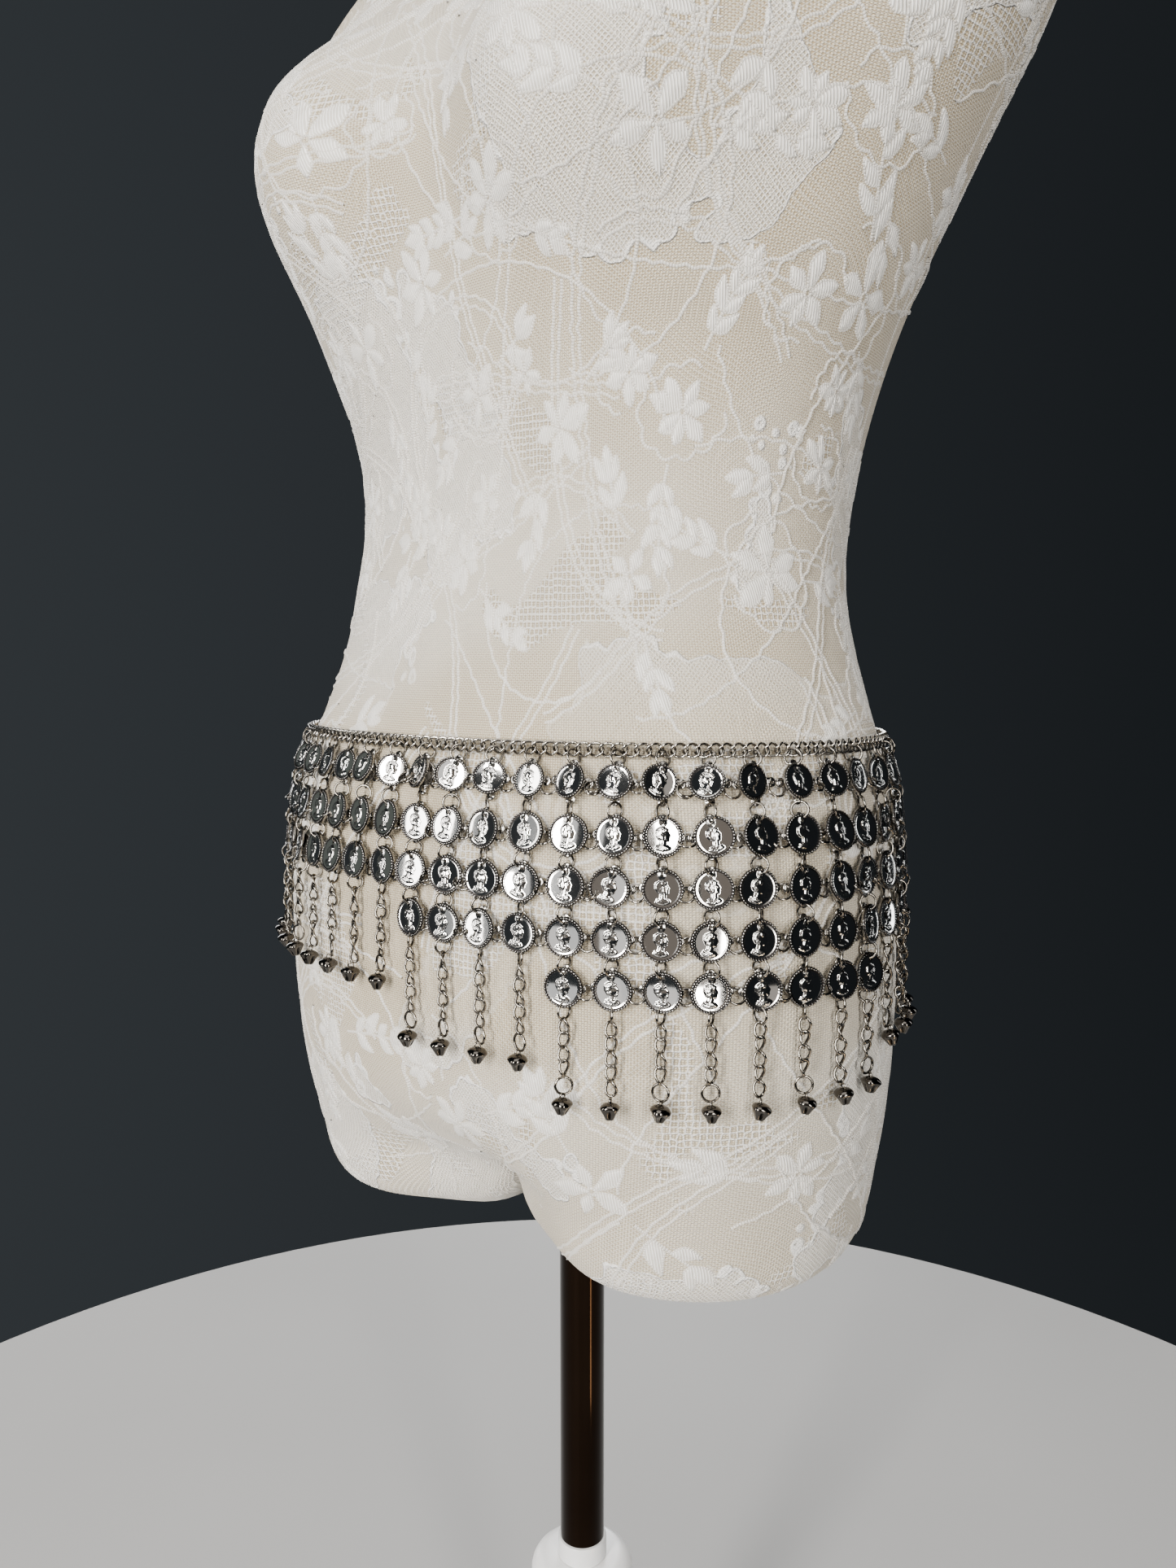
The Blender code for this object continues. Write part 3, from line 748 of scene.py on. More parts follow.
class Lace:
    """Flowers, leaves and cords laid on the form, placed by the distance round it and the height."""

    def __init__(self, tree):
        self.tree = tree
        self.points = []
        self.faces = []
        self.discs = []

    def spot(self, u, v, lift):
        """The place on the form at u round it and v above the waist chain, lifted off its skin."""
        angle = u / LACE_ROUND
        toward = Vector((-math.sin(angle), math.cos(angle), 0.0))
        start = Vector((0.0, 0.012, CHAIN_Z + v)) - toward * 0.4
        hit, normal = self.tree.ray_cast(start, toward)[:2]
        return None if hit is None else hit + normal * lift

    def built(self, name, material):
        pieces = Pieces()
        pieces.add(shape_of(self.points, self.faces, 0.0, np.array(self.discs)))
        return pieces.build(name, material)

    def cord(self, path, radius=THREAD, height=1.1):
        """A raised thread along places on the form. It has a roof of two sides."""
        spots = [self.spot(u, v, 0.0) for u, v in path]
        tops = [self.spot(u, v, radius * height) for u, v in path]
        if None in spots or None in tops:
            return
        base = len(self.points)
        length = 0.0
        for i, spot in enumerate(spots):
            before, after = spots[max(i - 1, 0)], spots[min(i + 1, len(spots) - 1)]
            away = tops[i] - spot
            side = (after - before).cross(away)
            side = side.normalized() * radius * 1.45 if side.length > 1e-12 else Vector((0.0, 0.0, radius))
            low = away * -0.2
            self.points += [tuple(spot + side + low), tuple(tops[i]), tuple(spot - side + low)]
            length += (spot - spots[max(i - 1, 0)]).length
            self.discs += [(length, -1.0, 0.0), (length, 0.0, 0.0), (length, 1.0, 0.0)]
        for i in range(len(spots) - 1):
            a = base + 3 * i
            self.faces += [(a, a + 1, a + 4, a + 3), (a + 1, a + 2, a + 5, a + 4)]

    def petal(self, u, v, heading, length, width, bend=0.0, point=0.8, steps=5):
        """A puffed satin petal or leaf, with a thread round it."""
        ragged = rng.uniform(0.0, 6.0)
        places = []
        spots = []
        discs = []
        at_u, at_v = u, v
        for i in range(steps + 1):
            share = i / steps
            turn = heading + bend * share
            half = width * 0.5 * math.sin(math.pi * min(share**point + 0.02, 1.0)) + 0.0002
            half *= 1.0 + 0.16 * math.sin(7.0 * share * math.pi + ragged)
            for side in (-1.0, -0.45, 0.45, 1.0):
                place = (at_u - half * side * math.sin(turn), at_v + half * side * math.cos(turn))
                places.append(place)
                spots.append(self.spot(*place, PETAL_LIFT * (1.0 if abs(side) < 0.9 else 0.15)))
                discs.append((share * length, side * width * 0.5, 1.0))
            at_u, at_v = polar(length / steps, turn, at_u, at_v)
        if None in spots or not 0.6 < (spots[-2] - spots[1]).length / length < 1.5:
            return
        base = len(self.points)
        self.points += [tuple(spot) for spot in spots]
        self.discs += discs
        for i in range(steps):
            for j in range(3):
                a = base + 4 * i + j
                self.faces.append((a, a + 4, a + 5, a + 1))
        self.cord(places[::4] + places[3::4][::-1], THREAD * 0.8)

    def flower(self, u, v, size):
        count = rng.choice((5, 6, 6, 7))
        first = rng.uniform(0.0, math.tau)
        start = 0.12 * size
        for i in range(count):
            heading = first + math.tau * i / count + rng.uniform(-0.20, 0.20)
            reach = size * rng.uniform(0.72, 1.15)
            width = reach * rng.uniform(0.38, 0.56)
            foot = polar(start, heading, u, v)
            self.petal(*foot, heading, reach, width, rng.uniform(-0.3, 0.3), 1.2)
        self.cord([polar(start, math.tau * i / 7, u, v) for i in range(8)], THREAD, 1.5)
        if rng.random() < 0.75:
            self.halo(u, v, size)

    def halo(self, u, v, size):
        """A scalloped cord part of the way round a flower."""
        lobes = rng.choice((9, 10, 11, 12))
        first = rng.uniform(0.0, math.tau)
        sweep = rng.uniform(3.2, 6.0)
        path = []
        for i in range(46):
            turn = first + sweep * i / 45
            scallop = 0.20 * abs(math.sin(0.5 * lobes * turn))
            reach = size * (1.26 + scallop + 0.12 * math.sin(2.0 * turn + first))
            path.append(polar(reach, turn, u, v))
        self.cord(path, THREAD, 1.3)

    def spray(self, u, v, heading, count, length):
        """Leaves in pairs along a curved stem."""
        curve = rng.uniform(-9.0, 9.0)
        stem = [(u, v)]
        turn = heading
        for i in range(count):
            step = length * 0.62
            turn += curve * step
            u, v = polar(step, turn, u, v)
            stem.append((u, v))
            side = 1 if i % 2 else -1
            size = length * (1.0 - 0.35 * i / count) * rng.uniform(0.85, 1.15)
            self.petal(u, v, turn + side * rng.uniform(0.65, 0.95), size, 0.42 * size, -0.5 * side)
            if rng.random() < 0.6:
                self.petal(u, v, turn - side * rng.uniform(0.6, 0.9), 0.8 * size, 0.34 * size, 0.5 * side)
        self.petal(u, v, turn, 0.9 * length, 0.4 * length)
        self.cord(stem, THREAD)

    def vine(self, u, v, heading, length, scallop, wave):
        """A wandering cord with small scallops, sometimes doubled."""
        step = 0.0033
        turn = heading
        curl = rng.choice((-1, 1)) * rng.uniform(2.0, 22.0)
        phase = rng.uniform(0.0, 6.0)
        path = []
        twin = []
        double = rng.random() < 0.4
        for i in range(int(length / step)):
            travel = i * step
            curl += rng.gauss(0.0, 2.4)
            curl *= 0.985
            turn += curl * step
            u, v = polar(step, turn, u, v)
            if not LACE_LOW < v < LACE_HIGH:
                break
            push = scallop * abs(math.sin(math.pi * travel / wave + phase))
            path.append((u - push * math.sin(turn), v + push * math.cos(turn)))
            apart = push + 0.0038
            twin.append((u - apart * math.sin(turn), v + apart * math.cos(turn)))
        if len(path) > 6:
            self.cord(path, THREAD, 1.4)
            if double:
                self.cord(twin, THREAD * 0.95)


def scattered(spacing, low, high, tries=4000):
    """Places at least the spacing apart, round the whole form."""
    places = []
    around = math.pi * LACE_ROUND
    for _ in range(tries):
        u, v = rng.uniform(-around, around), rng.uniform(low, high)
        if all(math.hypot(u - a, v - b) > spacing for a, b in places):
            places.append((u, v))
    return places


def add_lace(tree, material):
    lace = Lace(tree)
    for u, v in scattered(0.055, LACE_LOW + 0.03, LACE_HIGH - 0.02):
        if PLAIN_LOW < v < PLAIN_HIGH and rng.random() < 0.80:
            continue
        heading = rng.uniform(0.0, math.tau)
        lace.flower(u, v, rng.uniform(0.0120, 0.0170))
        if rng.random() < 0.55:
            lace.flower(*polar(0.030, heading, u, v), rng.uniform(0.0090, 0.0125))
        for i in range(2):
            turn = heading + math.pi * (0.6 + 0.9 * i) + rng.uniform(-0.3, 0.3)
            start = rng.uniform(0.019, 0.023)
            foot = polar(start, turn, u, v)
            lace.spray(*foot, turn, rng.choice((2, 3, 4)), rng.uniform(0.011, 0.016))
    flowers = lace.built("lace_flowers", material)
    lace = Lace(tree)
    for u, v in scattered(0.037, LACE_LOW + 0.02, LACE_HIGH - 0.01):
        if PLAIN_LOW < v < PLAIN_HIGH and rng.random() < 0.55:
            continue
        heading, length = rng.uniform(0.0, math.tau), rng.uniform(0.11, 0.30)
        lace.vine(u, v, heading, length, rng.uniform(0.0008, 0.0022), rng.uniform(0.0075, 0.0115))
    for side in (-1, 1):
        seam = [(side * math.radians(101) * LACE_ROUND, -0.215 + 0.006 * i) for i in range(84)]
        lace.cord(seam, 0.0007, 0.7)
    return flowers, lace.built("lace_cords", material)


class Value:
    """A node's output that can be used in sums."""

    def __init__(self, nodes, socket):
        self.nodes = nodes
        self.socket = socket

    def __add__(self, other):
        return self.nodes.maths("ADD", self, other)

    def __sub__(self, other):
        return self.nodes.maths("SUBTRACT", self, other)

    def __rsub__(self, other):
        return self.nodes.maths("SUBTRACT", other, self)

    def __mul__(self, other):
        return self.nodes.maths("MULTIPLY", self, other)

    def __truediv__(self, other):
        return self.nodes.maths("DIVIDE", self, other)

    __radd__ = __add__
    __rmul__ = __mul__

    def clamped(self):
        self.socket.node.use_clamp = True
        return self


class Nodes:
    """Short calls for building the nodes of a material or the world."""

    def __init__(self, block, shader="Principled BSDF"):
        block.use_nodes = True
        self.block = block
        self.tree = block.node_tree
        self.shader = self.tree.nodes[shader]
        self.place = self.node("TexCoord", "Object")

    def node(self, kind, output, inputs=(), **settings):
        """An output of a new node, by its name or number."""
        node = self.tree.nodes.new("ShaderNode" + kind)
        for key, value in settings.items():
            setattr(node, key, value)
        for key, value in dict(inputs).items():
            self.feed(value, node.inputs[key])
        return Value(self, node.outputs[output])

    def feed(self, value, socket):
        if isinstance(value, Value):
            self.tree.links.new(value.socket, socket)
        else:
            socket.default_value = (*value, 1.0) if isinstance(value, tuple) else value

    def set(self, **values):
        """Values of the shader's own sockets, with _ for a space in their names."""
        for key, value in values.items():
            self.feed(value, self.shader.inputs[key.replace("_", " ")])

    def maths(self, operation, a, b=0.0):
        return self.node("Math", 0, {0: a, 1: b}, operation=operation)

    def absolute(self, value):
        return self.maths("ABSOLUTE", value)

    def larger(self, a, b):
        return self.maths("MAXIMUM", a, b)

    def wave(self, place, pitch):
        return self.maths("SINE", place * (math.tau / pitch))

    def parts(self, vector):
        first = self.node("SeparateXYZ", 0, {0: vector})
        return [Value(self, socket) for socket in first.socket.node.outputs]

    def attribute(self, name, output):
        return self.node("Attribute", output, attribute_name=name)

    def round_form(self, x, y):
        """Distance round the form, in metres at the hips."""
        return self.maths("ARCTAN2", x, y * -1.0) * LACE_ROUND

    def noise(self, scale, detail=2.0, distortion=0.0):
        inputs = {"Vector": self.place, "Scale": scale, "Detail": detail, "Distortion": distortion}
        return self.node("TexNoise", "Fac", inputs)

    def cells(self, place, feature, **inputs):
        inputs["Vector"] = place
        return self.node("TexVoronoi", "Distance", inputs, voronoi_dimensions="2D", feature=feature)

    def ramp(self, value, low, high):
        """0 below low, 1 above high."""
        return self.node("MapRange", 0, {0: value, 1: low, 2: high}, interpolation_type="SMOOTHSTEP")

    def mix(self, share, a, b):
        return self.node("Mix", 2, {0: share, 6: a, 7: b}, data_type="RGBA")

    def bump(self, height, distance, strength=1.0):
        inputs = {"Strength": strength, "Distance": distance, "Height": height}
        self.set(Normal=self.node("Bump", "Normal", inputs))


def silver_material(name, bright, dark, rough, dark_rough, beaded=False):
    """Polished plate that is darker after the mesh's values of patina and painted shade: patina in the coins'
    hollows, painted shade on the rings' inner sides and in the bells' slits. A beaded one adds the dark gaps
    between the beads of a coin's rim, patina and painted shade both, and a painted shade over the whole rim."""
    n = Nodes(bpy.data.materials.new(name))
    patina_and_shade = n.attribute("patina_and_shade", "Fac")
    scratch = n.noise(200.0) * 0.02
    if beaded:
        x, y, beads = n.parts(n.attribute("disc", "Vector"))
        radius = n.maths("SQRT", x * x + y * y)
        phase = n.maths("ARCTAN2", y, x) * beads / math.tau
        along = (phase - n.maths("ROUND", phase)) / 0.37
        across = (radius - BEAD_PLACE) / BEAD_WIDTH
        bead = n.maths("SQRT", n.larger(1.0 - (along * along + across * across), 0.0))
        rim = n.ramp(radius, 0.806, 0.826)
        # Dark gaps between the beads: patina in those hollows, and painted shade between the beads
        gap = rim * (1.0 - n.ramp(bead, 0.25, 0.85))
        patina_and_shade = n.larger(patina_and_shade * (1.0 - rim), gap)
        scratch = scratch + bead
        # Painted shade: the whole rim is darkened to a third, for the dark reflections and shadows of its
        # small beads
        bright = n.mix(rim, bright, tuple(0.34 * c for c in bright))
    depth = (patina_and_shade + (n.noise(140.0) - 0.5) * 0.20).clamped()
    wear = (n.noise(900.0, 3.0) - 0.5) * 0.04
    roughness = (depth * (dark_rough - rough) + rough + wear).clamped()
    n.set(Base_Color=n.mix(n.ramp(depth, 0.0, 0.8), bright, dark), Metallic=1.0, Roughness=roughness)
    n.bump(scratch, 0.00025, 0.7 if beaded else 0.3)
    return n.block


def chrome_material():
    n = Nodes(bpy.data.materials.new("pole chrome"))
    smear = n.noise(30.0, 3.0)
    # Painted reflection: the base colour is a near black brown, for the dark room that the chrome reflects
    # instead of the pale floor; the smear noise varies it at random
    colour = n.mix(smear, (0.011, 0.0065, 0.004), (0.020, 0.012, 0.008))
    n.set(Base_Color=colour, Metallic=1.0, Roughness=0.07 + smear * 0.06)
    n.bump(n.noise(400.0), 0.00002, 0.3)
    return n.block


def plastic_material(name, colour, rough):
    n = Nodes(bpy.data.materials.new(name))
    cloud = n.ramp(n.noise(25.0, 3.0), 0.35, 0.75)
    colour = n.mix(cloud, colour, tuple(0.93 * c for c in colour))
    n.set(Base_Color=colour, Roughness=n.noise(600.0) * 0.12 + (rough - 0.06))
    n.bump(n.noise(800.0), 0.00004, 0.3)
    return n.block


def lace_material():
    """Ivory knit under pale stretch net. The flowers and cords are laid on as threads of their own."""
    n = Nodes(bpy.data.materials.new("knit and lace"))
    x, y, z = n.parts(n.place)
    u = n.round_form(x, y)
    uv = n.node("CombineXYZ", "Vector", {0: u, 1: z})
    wale, course, net_pitch = 0.00125, 0.00095, 0.0016

    # Knit wales and courses. On level places, such as the shoulders, the rows run front to back
    level = n.parts(n.node("NewGeometry", "Normal"))[2]
    top = n.ramp(n.absolute(level), 0.70, 0.86)
    knit = (n.wave(u, wale) + 1.0) * (n.wave(z, course) + 1.0)
    flat_knit = (n.wave(x, wale) + 1.0) * (n.wave(y, course) + 1.0)
    knit = (knit + top * (flat_knit - knit)) * 0.25

    # The net's two sets of threads, drawn out of true where the lace is stretched
    pull = (n.noise(7.0, 2.0, 0.4) - 0.5) * 0.055
    net = n.larger(n.wave(u * 0.55 + z + pull, net_pitch), n.wave(u * 0.70 - z - pull, net_pitch))
    net = n.ramp(net, 0.30, 0.95) * (1.0 - top * 0.8)

    # Leaf-shaped patches of open net with heavier threads
    patch = n.ramp(n.noise(17.0, 1.5, 0.9), 0.585, 0.605)
    cell = n.cells(uv, "DISTANCE_TO_EDGE", Scale=360.0, Randomness=0.35)
    heavy = patch * (1.0 - n.ramp(cell, 0.05, 0.20))
    # Dense zones with scalloped borders, and a veil that is thicker in wandering bands
    zone = n.noise(9.0, 2.0, 0.7) - n.cells(uv, "F1", Scale=120.0) * 0.030
    belt_foot = CHAIN_Z + PLAIN_LOW
    belt = n.ramp(z, belt_foot, belt_foot + 0.03) * (1.0 - n.ramp(z, CHAIN_Z, CHAIN_Z + PLAIN_HIGH))
    laced = 1.0 - belt * 0.85
    dense = n.ramp(zone, 0.522, 0.528) * laced
    border = (1.0 - n.ramp(n.absolute(zone - 0.528), 0.002, 0.007)) * laced
    veil = n.ramp(n.noise(5.0, 1.5, 0.6), 0.47, 0.70)
    # Dense zones are a close cross-hatch of threads
    hatch = n.larger(n.wave(u * 0.9 + z, 0.0021), n.wave(u * 1.2 - z, 0.0023))
    filled = dense * (0.10 + n.ramp(hatch, -0.1, 0.8) * 0.50)

    warm = n.ramp(n.noise(5.0, 1.0), 0.30, 0.70)
    colour = n.mix(warm, (0.29, 0.215, 0.115), (0.30, 0.25, 0.175))
    colour = n.mix((knit * 1.5).clamped(), colour, (0.70, 0.615, 0.455))
    cover = (net * 0.40 + veil * 0.34) * (1.0 - belt * 0.45)
    colour = n.mix(cover * (1.0 - patch), colour, (0.69, 0.655, 0.595))
    colour = n.mix(heavy * 0.75, colour, (0.88, 0.86, 0.83))
    colour = n.mix(filled, colour, (0.96, 0.93, 0.88))
    colour = n.mix(border * 0.70, colour, (1.0, 0.98, 0.95))
    n.set(Base_Color=colour, Roughness=0.85, Sheen_Weight=0.25, Sheen_Roughness=0.5)
    n.bump(knit * 0.5 + (net * 0.5 + heavy * 0.9) + (filled * 2.0 + border * 1.6), 0.00050)
    return n.block


def thread_material():
    """Satin thread: fine slanting stitches on petals and a twist on cords."""
    n = Nodes(bpy.data.materials.new("lace thread"))
    along, across, satin = n.parts(n.attribute("disc", "Vector"))
    x, y, z = n.parts(n.place)
    slant = (n.round_form(x, y) + z * 0.22) * satin + along * (1.0 - satin)
    stitch = n.ramp(n.wave(slant, 0.0012), -0.6, 0.9)
    uneven = n.noise(220.0, 3.0)
    tone = ((stitch + uneven * 0.7) * 0.6).clamped() * (0.65 + satin * 0.35)
    colour = n.mix(tone, (0.46, 0.42, 0.36), (1.0, 0.985, 0.95))
    # The foot of each cord lies in its own shade
    foot = n.ramp(n.absolute(across), 0.45, 1.0) * (1.0 - satin)
    colour = n.mix(foot * 0.70, colour, (0.36, 0.30, 0.225))
    n.set(Base_Color=colour, Roughness=0.72 - satin * 0.30 - stitch * 0.10, Sheen_Weight=0.3)
    n.bump(stitch + uneven, 0.00030)
    return n.block


def floor_material():
    n = Nodes(bpy.data.materials.new("pale floor"))
    n.set(Base_Color=n.mix(n.noise(3.0, 3.0), (0.33, 0.325, 0.32), (0.38, 0.375, 0.37)), Roughness=0.7)
    return n.block


# Shapes that are used many times
BIG_COIN = coin_shape(COIN_RADIUS, False)
SMALL_COIN = coin_shape(TOP_COIN_RADIUS, True)
CONNECTOR = connector_shape()
RING = jump_ring(RING_RADIUS, RING_WIRE)
LARGE_RING = jump_ring(LARGE_RING_RADIUS, 0.00056)
SMALL_LOOP = jump_ring(0.0011, 0.00042, 12, 5)
BELL = bell_shape()
DANGLE_LINK = curb_link(0.0032, 0.0022, 0.00060, 0.66)
WAIST_LINK = curb_link(0.00315, 0.00260, 0.00062, 0.70)

COIN, PLATE, WIRE, BELL_METAL, CHAIN_METAL = range(5)


def turned(matrix, x=0.0, y=0.0, z=0.0):
    """The frame turned about its own axes, in degrees."""
    turn = Matrix.Rotation(math.radians(z), 4, "Z")
    turn = turn @ Matrix.Rotation(math.radians(y), 4, "Y") @ Matrix.Rotation(math.radians(x), 4, "X")
    return matrix @ turn


def coin_travel(row):
    """Distance of a coin's centre down the column. Row 0 is the top one."""
    return FIRST_COIN if row == 0 else SECOND_COIN + (row - 1) * ROW_PITCH


def coin_radius(row):
    return TOP_COIN_RADIUS if row == 0 else COIN_RADIUS


def hung_coin(column, row):
    """Frame of a coin that hangs from its hole, a little turned and tilted."""
    pivot = coin_radius(row) * HOLE[1]
    spread = 12.0 if row == 0 else 5.0
    hung = column.matrix(coin_travel(row) - pivot, COIN_OUT)
    swing, yaw, pitch = rng.gauss(0.0, spread), rng.gauss(0.0, spread), rng.gauss(-1.0, 2.6)
    return turned(hung, pitch, yaw, swing) @ Matrix.Translation((0.0, -pivot, 0.0))


def add_column(pieces, column, rows):
    """Rings, connectors, coins and the dangle of one column."""
    for row in range(rows):
        middle = coin_travel(row)
        plate_at = column.matrix(middle, PLATE_OUT)
        plate = turned(plate_at, rng.gauss(0, 1.5), rng.gauss(0, 3), rng.gauss(0, 3))
        pieces.add(CONNECTOR, plate, PLATE)
        pieces.add(SMALL_COIN if row == 0 else BIG_COIN, hung_coin(column, row), COIN)
        below = middle - coin_radius(row) * HOLE[1]
        above = 0.0008 if row == 0 else coin_travel(row - 1) + LOBE_OFFSET
        lean = rng.choice((-1, 1)) * rng.uniform(35, 62)
        ring_at = column.matrix((above + below) / 2, RING_OUT)
        pieces.add(RING, turned(ring_at, rng.gauss(0, 4), lean, 0), WIRE)
    add_dangle(pieces, column, coin_travel(rows - 1), BELL_TRAVEL[rows])


def add_dangle(pieces, column, last, bell_at):
    """A jump ring, curb links, a ring and a bell below the last coin."""
    top_ring = last + LOBE_OFFSET + 0.0026
    lean = rng.choice((-1, 1)) * rng.uniform(50, 75)
    pieces.add(RING, turned(column.matrix(top_ring, DANGLE_RING_OUT), 0, lean), WIRE)
    end = bell_at - BELL_TOP_RISE
    if rng.random() < 0.6:
        end -= LARGE_RING_SPAN
        ring_at = column.matrix(end + LARGE_RING_RADIUS, LARGE_RING_OUT)
        pieces.add(LARGE_RING, turned(ring_at, 0, rng.uniform(-30, 30)), WIRE)
    start = top_ring + RING_RADIUS - 0.0004
    span = end - start - 0.0006
    links = max(2, round(span / DANGLE_LINK_PITCH))
    drift = rng.uniform(-20, 20)
    for i in range(links):
        drift = 0.85 * drift + rng.uniform(-16, 16)
        yaw = drift + 24 * (1 if i % 2 else -1)
        link_at = column.matrix(start + span / links * (i + 0.5), DANGLE_LINK_OUT)
        pieces.add(DANGLE_LINK, turned(link_at, 0, yaw, rng.uniform(-5, 5)), WIRE)
    loop_at = column.matrix(bell_at - BELL_LOOP_RISE, BELL_LOOP_OUT)
    pieces.add(SMALL_LOOP, turned(loop_at, 0, rng.uniform(40, 90)), WIRE)
    bell_frame = column.matrix(bell_at, BELL_OUT)
    bell = turned(bell_frame, rng.gauss(0, 5), rng.uniform(0, 90), rng.gauss(0, 5))
    pieces.add(BELL, bell, BELL_METAL)


def add_side_rings(pieces, column, neighbour, rows):
    """Slack rings that hang from the facing lobes of two columns' connectors."""
    for row in range(rows):
        travel = coin_travel(row)
        a, b = column.matrix(travel, SIDE_RING_OUT), neighbour.matrix(travel, SIDE_RING_OUT)
        span = b.translation - a.translation
        across = span.normalized()
        away = (a.col[2] + b.col[2]).to_3d().normalized()
        up = away.cross(across).normalized()
        away = across.cross(up)
        half_gap = span.length / 2 - LOBE_OFFSET
        drop = math.sqrt(max(RING_RADIUS**2 - half_gap**2, 0.0))
        for turn in range(2 if rng.random() < 0.22 else 1):
            lean = math.radians(rng.uniform(12, 52))
            down = away * math.sin(lean) - up * math.cos(lean)
            place = (a.translation + b.translation) / 2 + down * drop
            place += across * rng.uniform(-0.0003, 0.0003) + away * 0.0007 * turn
            base = frame_matrix(across, down, across.cross(down), place)
            pieces.add(RING, turned(base, 0.0, rng.gauss(0, 7), 0.0), WIRE)


def chain_frame(tree, table, length, out):
    """A frame on the waist chain's line: Y runs along it, X down and Z away from the form."""
    place, along, outward = guide_at(table, length)
    levels = (-CLASP_HALF_HEIGHT, 0.0, CLASP_HALF_HEIGHT)
    offset = max(surface_offset(tree, place, outward, level) for level in levels)
    point = place + outward * (offset + FORM_CLEARANCE + out)
    point.z = CHAIN_Z - CHAIN_SAG
    return frame_matrix(along.cross(outward), along, outward, point)


def open_tube(path, radii, sides):
    """A wire with closed ends through points in a plane."""
    points = []
    count = len(path)
    for i in range(count):
        before, after = Vector(path[max(i - 1, 0)]), Vector(path[min(i + 1, count - 1)])
        side = Vector((0, 0, 1))
        outward = (after - before).normalized().cross(side).normalized()
        for j in range(sides):
            turn = math.tau * j / sides
            points.append(Vector(path[i]) + radii[i] * (math.cos(turn) * outward + math.sin(turn) * side))
    faces = wall(count, sides, flip=True)
    faces += [tuple(reversed(range(sides))), tuple(range((count - 1) * sides, count * sides))]
    return shape_of([tuple(p) for p in points], faces, 0.1)


def clasp_shape():
    """A lobster clasp's hooked body, along Y, 13 mm long."""
    path = []
    radii = []
    steps = 26
    for i in range(steps):
        share = i / (steps - 1)
        turn = math.radians(-70 + 315 * share)
        path.append((0.0027 * math.sin(turn), 0.0021 - 0.0036 * math.cos(turn), 0.0))
        radii.append(0.0011 - 0.0005 * share)
    return open_tube(path, radii, 10)


def smooth_form(verts, faces, material):
    mesh = bpy.data.meshes.new("form_cover")
    mesh.from_pydata([tuple(v) for v in verts], [], faces)
    mesh.update()
    mesh.materials.append(material)
    mesh.shade_smooth()
    obj = add_object("form_cover", mesh)
    rounding = obj.modifiers.new("Rounding", "SUBSURF")
    rounding.levels = 2
    rounding.render_levels = 2
    return obj


def add_light(name, azimuth, distance, height, width, tall, power, colour):
    """A soft panel that faces the form's middle. Azimuth 0 is in front of the form, 90 at its left side."""
    turn = math.radians(azimuth)
    place = Vector((distance * math.sin(turn), -distance * math.cos(turn), height))
    data = bpy.data.lights.new(name, "AREA")
    data.shape = "RECTANGLE"
    data.size = width
    data.size_y = tall
    data.energy = power
    data.color = colour
    light = add_object(name, data)
    light.location = place
    light.rotation_euler = (Vector((0.0, 0.0, CHAIN_Z)) - place).to_track_quat("-Z", "Y").to_euler()
    light.visible_camera = False
    return light


def add_world():
    world = bpy.data.worlds.new("studio")
    n = Nodes(world, "Background")
    turn = math.radians(CAMERA_AZIMUTH)
    across = {0: n.node("TexCoord", "Generated"), 1: Vector((math.cos(turn), math.sin(turn), 0.0))}
    side = n.node("VectorMath", "Value", across, operation="DOT_PRODUCT")
    share = n.node("MapRange", 0, {0: side, 1: -BACKDROP_SPREAD, 2: BACKDROP_SPREAD})
    n.set(Color=n.mix(share, *BACKDROP))
    bpy.context.scene.world = world


def add_camera():
    azimuth, pitch = math.radians(CAMERA_AZIMUTH), math.radians(CAMERA_PITCH)
    right = Vector((math.cos(azimuth), math.sin(azimuth), 0.0))
    ahead = Vector((-math.sin(azimuth), math.cos(azimuth), 0.0))
    forward = ahead * math.cos(pitch) - Vector((0.0, 0.0, math.sin(pitch)))
    data = bpy.data.cameras.new("camera")
    data.sensor_width = SENSOR
    data.lens = SENSOR * FOCAL_PIXELS / PICTURE_HEIGHT
    data.clip_start = 0.02
    camera = add_object("camera", data)
    camera.location = Vector((0.0, 0.0, CAMERA_HEIGHT)) - ahead * CAMERA_DISTANCE + right * CAMERA_ASIDE
    camera.rotation_euler = forward.to_track_quat("-Z", "Y").to_euler()
    bpy.context.scene.camera = camera


def mark_sharp(mesh):
    """Creases between faces that meet at more than 35 degrees stay sharp."""
    normals = [p.normal.copy() for p in mesh.polygons]
    users = {}
    for polygon in mesh.polygons:
        for key in polygon.edge_keys:
            users.setdefault(key, []).append(polygon.index)
    for edge in mesh.edges:
        pair = users.get(tuple(sorted(edge.vertices)), [])
        if len(pair) == 2 and normals[pair[0]].angle(normals[pair[1]], 0.0) > math.radians(35):
            edge.use_edge_sharp = True


def rod(radius, top, bottom):
    return [(0, top), (radius, top), (radius, bottom), (0, bottom)]


